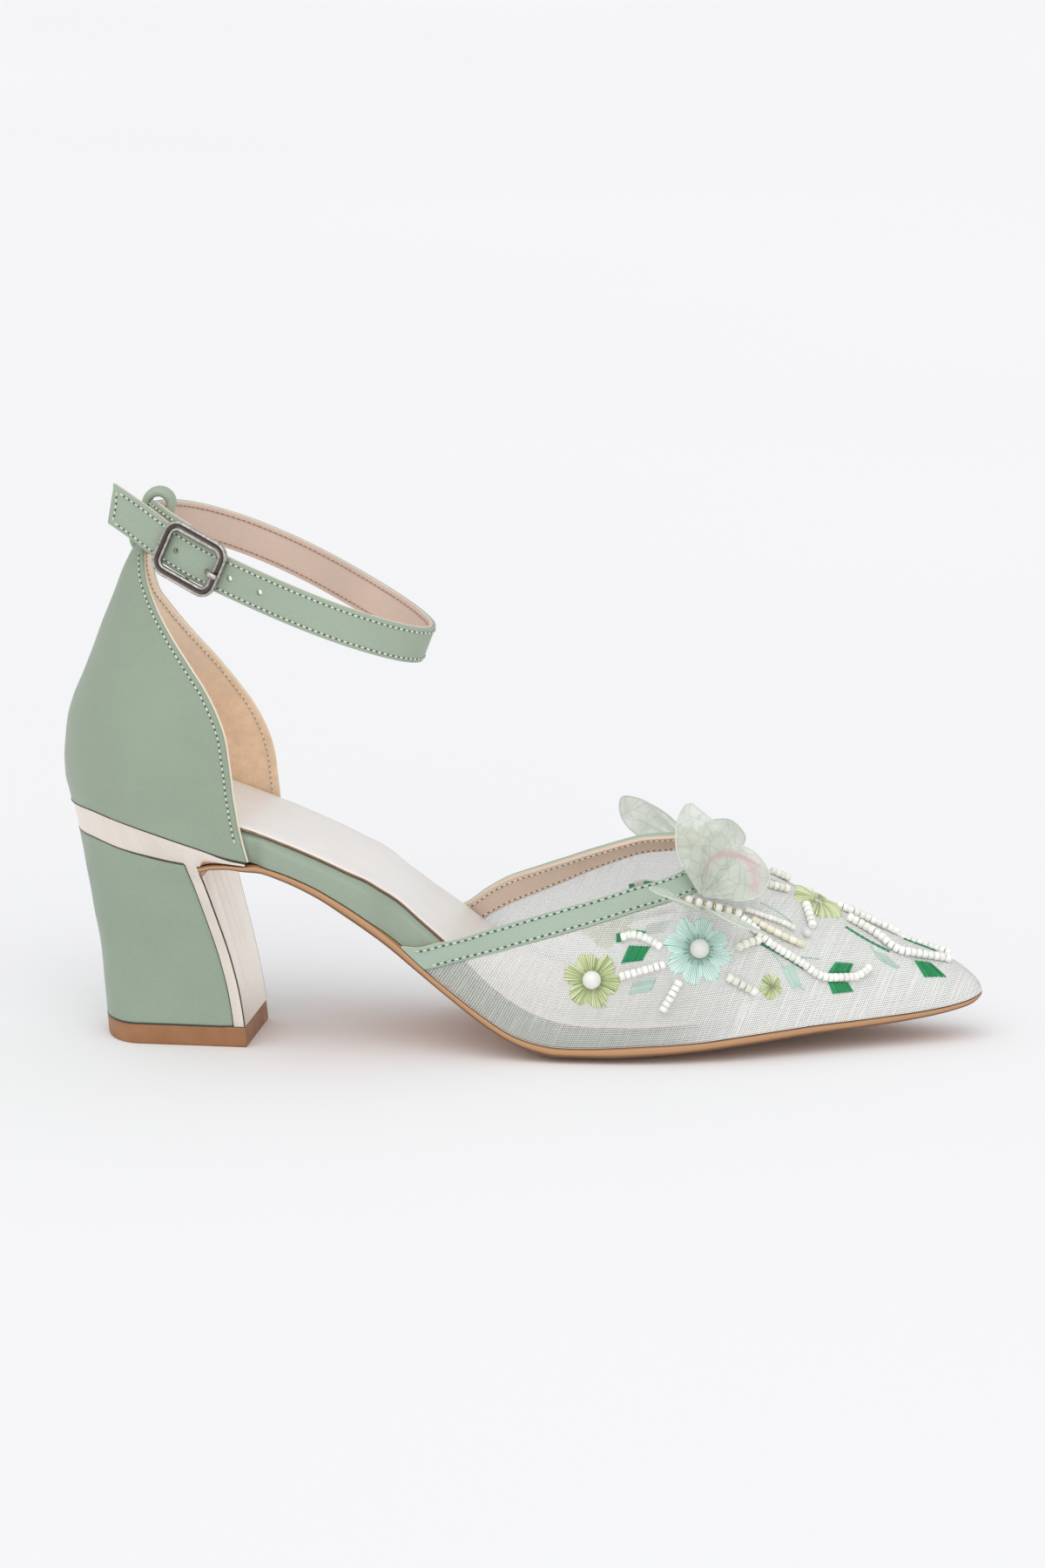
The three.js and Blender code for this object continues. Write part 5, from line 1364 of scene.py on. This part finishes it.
# ---------------------------------------------------------------- butterflies
def wing_sheet(name, root, toe, up, table, curl, mat, lobes, replaces, pink=None):
    root, e1 = np.array(root, float), unit(np.array(toe, float))
    up = np.array(up, float)
    e2 = unit(up - e1 * (up @ e1))
    nn = np.cross(e1, e2)
    reach = curve_of([r[0] for r in table], [r[1] for r in table])
    batch_v, batch_f, su, sv_, ex = [], [], [], [], []
    count = 0
    veins = Batch()
    for t0, t1, lift in lobes:
        nt, ns = 60, 22
        tt_ = np.linspace(t0, t1, nt)
        ss = np.linspace(0.03, 1, ns)
        TT, SS = np.meshgrid(tt_, ss, indexing="ij")

        def height(TT, SS, t0=t0, t1=t1, lift=lift):
            cup = 1.3 * SS * (1 - SS) * np.sin(np.pi * (TT - t0) / (t1 - t0))
            gather = 0.28 * np.sin(np.radians(TT) * 22) * SS * (1 - SS) ** 2 * 4
            ripple = 0.35 * np.sin(np.radians(TT) * 9 + lift * 3) * SS ** 4
            return curl * SS * SS + cup + gather + ripple * 0.6 + lift * SS

        # inside a lobe the outline is the table's; where lobes overlap it closes in a rounded end
        R = reach(TT)
        for edge, other in ((t0, table[0][0]), (t1, table[-1][0])):
            if abs(edge - other) > 1:
                fade = np.clip(np.abs(TT - edge) / 22, 0, 1)
                R = R * (0.25 + 0.75 * np.sqrt(1 - (1 - fade) ** 2))
        A = np.radians(TT)
        flat = root + (R * SS * np.cos(A))[..., None] * e1 + (R * SS * np.sin(A))[..., None] * e2
        H = height(TT, SS)
        a, b = flat + nn * (H + 0.13)[..., None], flat + nn * (H - 0.13)[..., None]
        v, f = wall(a, b)
        batch_v.append(v)
        batch_f += [[i + count for i in q] for q in f]
        count += len(v)
        u_, w_ = (R * SS * np.cos(A)).ravel(), (R * SS * np.sin(A)).ravel()
        su.append(np.concatenate([u_, u_]))
        sv_.append(np.concatenate([w_, w_]))
        if pink and (t0, t1) == pink:
            r_pink = np.interp(TT, [10, 24, 39, 55, 75, 91, 99, 104], [12.5, 14.0, 15.4, 15.1, 12.7, 9.6, 6.3, 3.0])
            band = np.exp(-((R * SS - r_pink) / 1.1) ** 2) * smooth(0, 12, TT - 12)
            blush = 0.2 * np.clip((R * SS - r_pink) / 3, 0, 1) * (1 - smooth(0, 18, TT - 44))
            pk = np.clip(band * 0.75 + blush, 0, 1).ravel()
        else:
            pk = np.zeros(SS.size)
        ex.append(np.concatenate([pk, pk]))
        # merrowed edge and ribs
        rim = np.concatenate([(a + b)[:, -1] / 2])
        inside = np.ones(nt)
        for edge, other in ((t0, table[0][0]), (t1, table[-1][0])):
            if abs(edge - other) > 1:
                inside = np.minimum(inside, np.clip(np.abs(tt_ - edge) / 30, 0.3, 1))
        veins.add(tube_rings(rim, 0.19 * inside, 6))
        for tv in np.linspace(t0 + 5, t1 - 5, 6):
            s_line = np.linspace(0.06, 0.93, 18)
            bend = tv + 4 * (s_line - 0.5) * np.sign(tv - (t0 + t1) / 2)
            r_ = np.interp(bend, tt_, R[:, -1])
            h_ = height(bend, s_line)
            p = root + (r_ * s_line * np.cos(np.radians(bend)))[:, None] * e1 + (r_ * s_line * np.sin(np.radians(bend)))[:, None] * e2 + nn * (h_)[:, None]
            veins.add(tube_rings(p, 0.13 * (1 - 0.5 * s_line), 5))
    make(name, np.concatenate(batch_v), batch_f, mat, "organza",
         attrs={"su": np.concatenate(su), "sv": np.concatenate(sv_), "extra": np.concatenate(ex)}, replaces=replaces, sharp=60)
    veins.make(name + "_ribs", wing_rib, "organza")


wing_rib = thread_look("wing_rib", (206, 216, 202), 0.06, 0.5)
wing_sheet("wing_front", (169.5, -20.8, 41.9), (0.97, 0, -0.24), (0, 0.42, 0.9), WING_UPRIGHT, 1.5, organza,
           [(58, 137, 0.0), (4, 102, 0.9)], ("wing_upright",), pink=(4, 102))
wing_sheet("wing_low", (169.5, -24.4, 39.9), (0.92, 0, -0.39), (0, -0.99, 0.12), WING_FLAT, -1.0, organza_pale,
           [(78, 152, 0.0), (4, 92, -0.5)], ("wing_flat",))
wing_sheet("wing_back", (166, 27.2, 43.6), (1, 0, 0), (0, 0.06, 1), WING_MEDIAL, 0.8, organza,
           [(84, 172, 0.0), (3, 96, -0.5)], ("wing_medial",))


def surface_path(points, h, count=None, step=0.5):
    """Smooth path over the upper through (x, turn) points, h above it, and its normals."""
    pts = np.array([[a, b, 0] for a, b in points], float)
    fine = catmull(pts * [1, 0.5, 1], 14) * [1, 2, 1] if len(pts) > 2 else np.linspace(pts[0], pts[-1], 24)
    p = off_last(fine[:, 0], fine[:, 1], np.full(len(fine), h))
    q, idx = resample(p, step=step, count=count)
    n = last_normal(np.interp(idx, np.arange(len(fine)), fine[:, 0]), np.interp(idx, np.arange(len(fine)), fine[:, 1]))
    return q, n


def strand(batch, points, radius, pitch, jitter=0.1, h=None):
    path, n = surface_path(points, (radius if h is None else h), step=pitch)
    mids = (path[1:] + path[:-1]) / 2
    ax = unit(path[1:] - path[:-1])
    nm = n[1:]
    mids = mids + rng.normal(0, jitter * 0.35, mids.shape) * 0.6
    ax = unit(ax + rng.normal(0, jitter, ax.shape))
    prof = [(t * pitch * 0.99, r * radius) for t, r in SEED]
    solids(batch, prof, mids, ax, 12, normals=nm)


def line_thread(batch, points, radius, h=0.12, twist=1.6):
    path, n = surface_path(points, h, step=0.28)
    s = np.arange(len(path)) * 0.28
    rad = radius * (1 + 0.22 * np.sin(s * 2 * math.pi / twist))
    rad[0] = rad[-1] = radius * 0.3
    batch.add(tube_rings(path, rad, 7, normal=n[len(n) // 2]))


body_pearls, body_gold = Batch(), Batch()
for turn, a, b, cnt in ((46.5, 165.9, 178.6, 6), (133, 162.2, 174, 6)):
    path, n = surface_path([(a, turn), ((a + b) / 2, turn), (b, turn)], 1.6, count=cnt - 1)
    ax = tangents(path)
    solids(body_pearls, [(t * 1.12, r * 1.26) for t, r in SPHERE], path, ax, 16)
    mids = (path[1:] + path[:-1]) / 2
    solids(body_gold, [(-0.28, 0.3), (-0.26, 0.72), (-0.1, 0.9), (0.1, 0.9), (0.26, 0.72), (0.28, 0.3)], mids, ax[1:], 16)
    solids(body_gold, [(-0.2, 0.3), (-0.18, 0.62), (0, 0.75), (0.18, 0.62), (0.2, 0.3)], path[[0, -1]] + ax[[0, -1]] * np.array([[-1.2], [1.2]]), ax[[0, -1]], 16)
body_pearls.make("butterfly_pearls", pearl, "pearl", replaces=("butterfly_body", "butterfly_body_medial"))
body_gold.make("butterfly_rims", gold, "champagne_metal")


# ---------------------------------------------------------------- embroidery
def plane_map(x, turn):
    """Turns a step in mm over the surface (toe-wards, up) into a step in x and turn."""
    ex = (last(x + 0.5, turn) - last(x - 0.5, turn))
    et = (last(x, turn + 1) - last(x, turn - 1)) / 2
    e1 = unit(ex)
    n = last_normal(np.array(x, float), np.array(turn, float))
    e2 = np.cross(n, e1)
    if e2 @ et < 0:
        e2 = -e2
    J = np.array([[ex @ e1, et @ e1], [ex @ e2, et @ e2]])
    return np.linalg.inv(J)


def flower(batch, x, turn, R, petals, r0, threads, height, spin=0.0, notch=0.24, squash=1.0):
    M = plane_map(x, turn)
    nth = threads * 4
    th = np.arange(nth) / nth * 2 * math.pi
    pr_ = np.abs(np.cos(petals * (th + spin) / 2))
    jag = rng.normal(0, 0.035, threads)[(np.arange(nth) // 4) % threads]
    Rt = R * (1 - notch + notch * pr_ ** 0.5) * (1 + jag)
    s = np.concatenate([[0, 0.03, 0.08], np.linspace(0.16, 0.88, 9), [0.94, 0.98, 1.0]])
    rr = r0 + (Rt[:, None] - r0) * s[None]
    prof = (0.5 + 0.5 * (1 - (1 - np.clip(s / 0.3, 0, 1)) ** 2) ** 0.5) * (1 - np.clip((s - 0.55) / 0.45, 0, 1) ** 2.4) ** 0.5
    ridge = np.abs(np.sin(np.arange(nth) / 4 * math.pi))
    H = height * prof[None] * (0.38 + 0.62 * pr_[:, None] ** 0.55) * (0.74 + 0.26 * ridge[:, None])
    a, b = rr * np.cos(th)[:, None], rr * np.sin(th)[:, None] * squash
    dx, dt = M[0, 0] * a + M[0, 1] * b, M[1, 0] * a + M[1, 1] * b
    top = off_last(x + dx, np.clip(turn + dt, 0.5, 179.5), H + 0.02)
    low = off_last(x + dx[:, [0, -1]], np.clip(turn + dt[:, [0, -1]], 0.5, 179.5), np.full((nth, 2), -0.12))
    rings = np.concatenate([low[:, :1], top, low[:, 1:]], 1)
    cnt = np.broadcast_to((np.arange(nth) / 4)[:, None], rings.shape[:2])
    batch.add(rings, loop=True, extra=cnt)
    centre_p = off_last(np.array(x, float), np.array(turn, float), np.array(0.0))
    return centre_p, last_normal(np.array(x, float), np.array(turn, float))


def leaf(batch, corners, threads, height):
    """Satin filled four sided patch; threads run from the first edge to the opposite one."""
    cs = np.array(corners, float)
    nu, nv = threads * 4 + 1, 9
    u, v = np.meshgrid(np.linspace(0, 1, nu), np.linspace(0, 1, nv), indexing="ij")
    jag = 0.035 * np.sin(np.floor(u * threads) * 2.4)[..., None] * (v[..., None] - 0.5) * 2
    P = (cs[0] * (1 - u[..., None]) + cs[1] * u[..., None]) * (1 - v[..., None] - jag) + \
        (cs[3] * (1 - u[..., None]) + cs[2] * u[..., None]) * (v[..., None] + jag)
    edge = np.minimum(np.minimum(u, 1 - u) * threads * 0.5, np.minimum(v, 1 - v) * 5)
    prof = np.sqrt(np.clip(1 - (1 - np.clip(edge, 0, 1)) ** 2, 0, 1))
    ridge = np.abs(np.sin(u * threads * math.pi))
    top = off_last(P[..., 0], P[..., 1], 0.02 + height * prof * (0.8 + 0.2 * ridge))
    low = off_last(P[..., 0], P[..., 1], np.full_like(u, -0.12))
    vv_, ff_ = wall(top, low)
    cnt = (u * threads).ravel()
    batch.add_mesh(vv_, ff_, tone=rng.random(), extra=np.concatenate([cnt, cnt]))


def mirror(pts):
    return [(a, 180 - b) for a, b in pts]


lime, aqua, green, mint, ticks = Batch(), Batch(), Batch(), Batch(), Batch()
pearls, white, clear, goldish = Batch(), Batch(), Batch(), Batch()
dark_t, mint_t = Batch(), Batch()


def pearl_at(x, turn, r, sit=0.75):
    p = off_last(np.array(float(x)), np.array(float(turn)), np.array(r * sit + 0.35))
    n = last_normal(np.array(float(x)), np.array(float(turn)))
    solids(pearls, SPHERE, [p], [n], 24, scale=r, normals=[np.array([1.0, 0, 0])])


def decorate(side):
    f = (lambda pts: pts) if side < 0 else mirror
    one = (lambda a, b: (a, b)) if side < 0 else (lambda a, b: (a, 180 - b))
    # lime flower, aqua flower and their pearls
    flower(lime, *one(142.0, 19.9), 7.4, 6, 1.8, 60, 1.0, 0.3, 0.34)
    pearl_at(*one(142.0, 19.9), 2.45)
    flower(aqua, *one(169.0, 30.2), 9.0, 8, 2.2, 88, 1.1, 0.15, 0.3)
    pearl_at(*one(169.0, 30.2), 2.55)
    for (x, t), r_in, r_out, cnt, bt in (((169.0, 30.2), 2.7, 4.2, 24, ticks), ((142.0, 19.9), 2.5, 3.6, 16, lime)):
        x, t = one(x, t)
        M = plane_map(x, t)
        for q in range(cnt):
            a = (q + 0.5) / cnt * 2 * math.pi
            seg = np.linspace(r_in, r_out, 5)
            dx = M[0, 0] * seg * math.cos(a) + M[0, 1] * seg * math.sin(a)
            dt = M[1, 0] * seg * math.cos(a) + M[1, 1] * seg * math.sin(a)
            p = off_last(x + dx, t + dt, 0.75 + 0.2 * np.linspace(0, 1, 5) if bt is ticks else np.full(5, 0.8))
            bt.add(tube_rings(p, [0.06, 0.16, 0.18, 0.15, 0.05], 5), tone=0.4)
    flower(lime, *one(188.0, 19.5), 3.1, 5, 0.25, 30, 0.8, 0.4, 0.2, 1.1)
    leaf(green, f([(151.3, 29.5), (156.9, 29.5), (154.9, 25.0), (149.3, 24.2)]), 20, 0.6)
    leaf(green, f([(204.5, 36.5), (209.3, 38.0), (208.2, 30.6), (202.6, 29.0)]), 20, 0.6)
    leaf(green, f([(202.6, 23.9), (207.8, 24.8), (209.4, 18.8), (204.0, 17.0)]), 20, 0.6)
    leaf(green, f([(225.0, 54.2), (229.1, 57.1), (233.7, 40.0), (227.8, 36.0)]), 22, 0.55)
    leaf(green, f([(147.9, 33.4), (149.3, 33.6), (149.5, 30.8), (148.0, 30.6)]), 8, 0.5)
    leaf(green, f([(152.0, 34.4), (155.6, 34.2), (155.6, 33.0), (152.0, 33.2)]), 12, 0.4)
    leaf(mint, f([(151.5, 15.0), (152.6, 18.6), (158.8, 20.5), (157.3, 16.2)]), 16, 0.35)
    leaf(mint, f([(190.5, 28.8), (193.8, 31.0), (196.0, 21.0), (193.6, 18.6)]), 14, 0.25)
    leaf(mint, f([(214.6, 52.0), (217.6, 52.0), (221.5, 42.0), (219.0, 41.0)]), 12, 0.25)
    # strands of seed beads
    for pts in ([(149.2, 31.7), (151.9, 32.7), (154.3, 32.2), (157.1, 30.9), (159.6, 29.3)],
                [(149.0, 20.4), (154.3, 21.8), (160.6, 24.3)],
                [(164.4, 19.6), (162.3, 14.8), (160.1, 10.3)],
                [(179.6, 45.5), (182.3, 43.5), (185.3, 39.7), (189.9, 36.1), (195.6, 31.8), (199.0, 27.7), (201.7, 25.9),
                 (205.8, 26.9), (210.3, 29.4), (213.2, 36.8)]):
        strand(white, f(pts), 1.14, 1.5, 0.06)
    for pts in ([(176.4, 22.1), (180.1, 19.5), (184.1, 16.6)], [(178.7, 32.7), (181.6, 35.6), (184.7, 38.6)]):
        strand(clear, f(pts), 1.15, 1.75, 0.08)
    strand(white, f([(180.6, 50.1), (186.7, 50.7), (190.3, 50.7), (193.5, 49.7)]), 0.75, 1.35, 0.05)
    pearl_at(*one(196.5, 48.7), 1.15)
    strand(goldish, f([(182.3, 46.7), (186.0, 45.2), (189.8, 43.7), (195.9, 41.7)]), 1.0, 2.3, 0.04)
    line_thread(dark_t, f([(184.9, 37.5), (191.0, 34.1), (196.9, 29.0)]), 0.3)
    line_thread(mint_t, f([(188.3, 34.2), (191.1, 29.2), (192.7, 24.3), (196.8, 18.4)]), 0.16)
    line_thread(mint_t, f([(192.1, 34.9), (196.3, 35.6), (200.5, 36.4)]), 0.16)
    line_thread(mint_t, f([(213.5, 56.3), (215.8, 46.4), (220.5, 40.4)]), 0.16)
    line_thread(mint_t, f([(184.5, 58), (189, 57), (193, 54)]), 0.16)
    line_thread(dark_t, f([(206.8, 66.3), (212.3, 61.0), (218.5, 56.1)]), 0.3)
    strand(white, f([(195.9, 70.1), (197.0, 61.8), (198.0, 53.9)]), 1.15, 1.6, 0.07)
    strand(white, f([(206.9, 75.9), (211.1, 73.1), (215.7, 67.8), (218.5, 61.1), (221.3, 58.9), (224.9, 61.6), (229.5, 65.2), (234.1, 72.1)]), 1.15, 1.6, 0.07)
    leaf(green, f([(224.9, 73.5), (228.2, 76.5), (228.4, 73.0), (225.1, 70.2)]), 10, 0.4)


decorate(-1)
decorate(1)
# along the ridge
for (x, t), R in (((199.5, 84.0), 7.6),):
    flower(lime, x, t, R, 6, 1.6, 78, 1.0, 0.5, 0.3)
strand(clear, [(186.5, 87.9), (189, 90.5), (191.3, 93.0)], 1.0, 1.6, 0.08)
strand(clear, [(185.9, 70.7), (188.6, 73), (191.5, 76.0)], 1.05, 1.6, 0.08)
strand(white, [(204.0, 89.7), (209.5, 92.0), (214.5, 93.6), (220.5, 93.0)], 1.05, 1.6, 0.08)
strand(white, [(176.0, 86.0), (180.5, 88.0), (183.5, 90.0)], 1.0, 1.6, 0.08)
line_thread(mint_t, [(182.0, 76.0), (187.0, 80.0), (191.0, 82.0)], 0.16)
line_thread(dark_t, [(222.0, 88.0), (227.0, 91.0), (231.0, 93.0)], 0.28)
for q in range(5):
    line_thread(mint_t, [(222.5 + q * 1.9, 70.0 - 4 * q), (224.0 + q * 2.0, 58.0 - 3 * q), (225.2 + q * 2.1, 44.0 - 2 * q)], 0.10, 0.06)

lime.make("embroidery_lime", satin_lime, "mesh", sharp=70)
aqua.make("embroidery_aqua", satin_aqua, "mesh", sharp=70)
green.make("embroidery_green", satin_green, "mesh", sharp=70)
mint.make("embroidery_mint", satin_mint, "mesh", sharp=70)
ticks.make("embroidery_ticks", aqua_tick, "mesh")
dark_t.make("embroidery_stem", thread_look("stem_green", (30, 124, 80), 0.2), "mesh")
mint_t.make("embroidery_fine", thread_look("stem_mint", (176, 210, 194), 0.1), "mesh")
pearls.make("sewn_pearls", pearl, "pearl")
white.make("seed_beads", seed_white, "pearl")
clear.make("seed_beads_clear", seed_clear, "pearl")
goldish.make("seed_beads_gold", seed_gold, "pearl")

# ---------------------------------------------------------------- floor and light
def floor():
    me = bpy.data.meshes.new("floor")
    n, size = 24, 14.0
    xs = np.linspace(-size, size, n)
    pts = [(x, y, 0) for x in xs for y in xs]
    me.from_pydata(pts, [], grid_faces(n, n))
    k = Look("floor_paper", 0.85, Specular_IOR_Level=0.2)
    k.set("Base Color", k.ramp(k.noise(0.9, 2), [(0.3, c(244, 244, 246)), (0.7, c(247, 247, 248))]))
    me.materials.append(k.mat)
    o = bpy.data.objects.new("floor", me)
    bpy.context.scene.collection.objects.link(o)
    bm = bmesh.new()
    bm.from_mesh(me)
    bmesh.ops.recalc_face_normals(bm, faces=bm.faces)
    if bm.faces and next(iter(bm.faces)).normal.z < 0:
        bmesh.ops.reverse_faces(bm, faces=bm.faces)
    bm.to_mesh(me)
    bm.free()


floor()
world = bpy.data.worlds.new("studio")
bpy.context.scene.world = world
world.use_nodes = True
bg = world.node_tree.nodes["Background"]
bg.inputs["Color"].default_value = (0.985, 0.99, 1.0, 1)
bg.inputs["Strength"].default_value = 0.75


def sun(name, direction, power, angle, col=(1, 1, 1)):
    d = bpy.data.lights.new(name, "SUN")
    d.energy, d.angle, d.color = power, math.radians(angle), col
    o = bpy.data.objects.new(name, d)
    bpy.context.scene.collection.objects.link(o)
    o.rotation_mode = "QUATERNION"
    o.rotation_quaternion = Vector(direction).to_track_quat("-Z", "Y")


sun("key", (0.30, 0.62, -1.0), 0.74, 60, (1, 0.995, 0.985))
sun("front", (-0.35, 1.0, -0.42), 0.62, 70)
scene = bpy.context.scene
scene.view_settings.view_transform = "Standard"
scene.view_settings.look = "None"
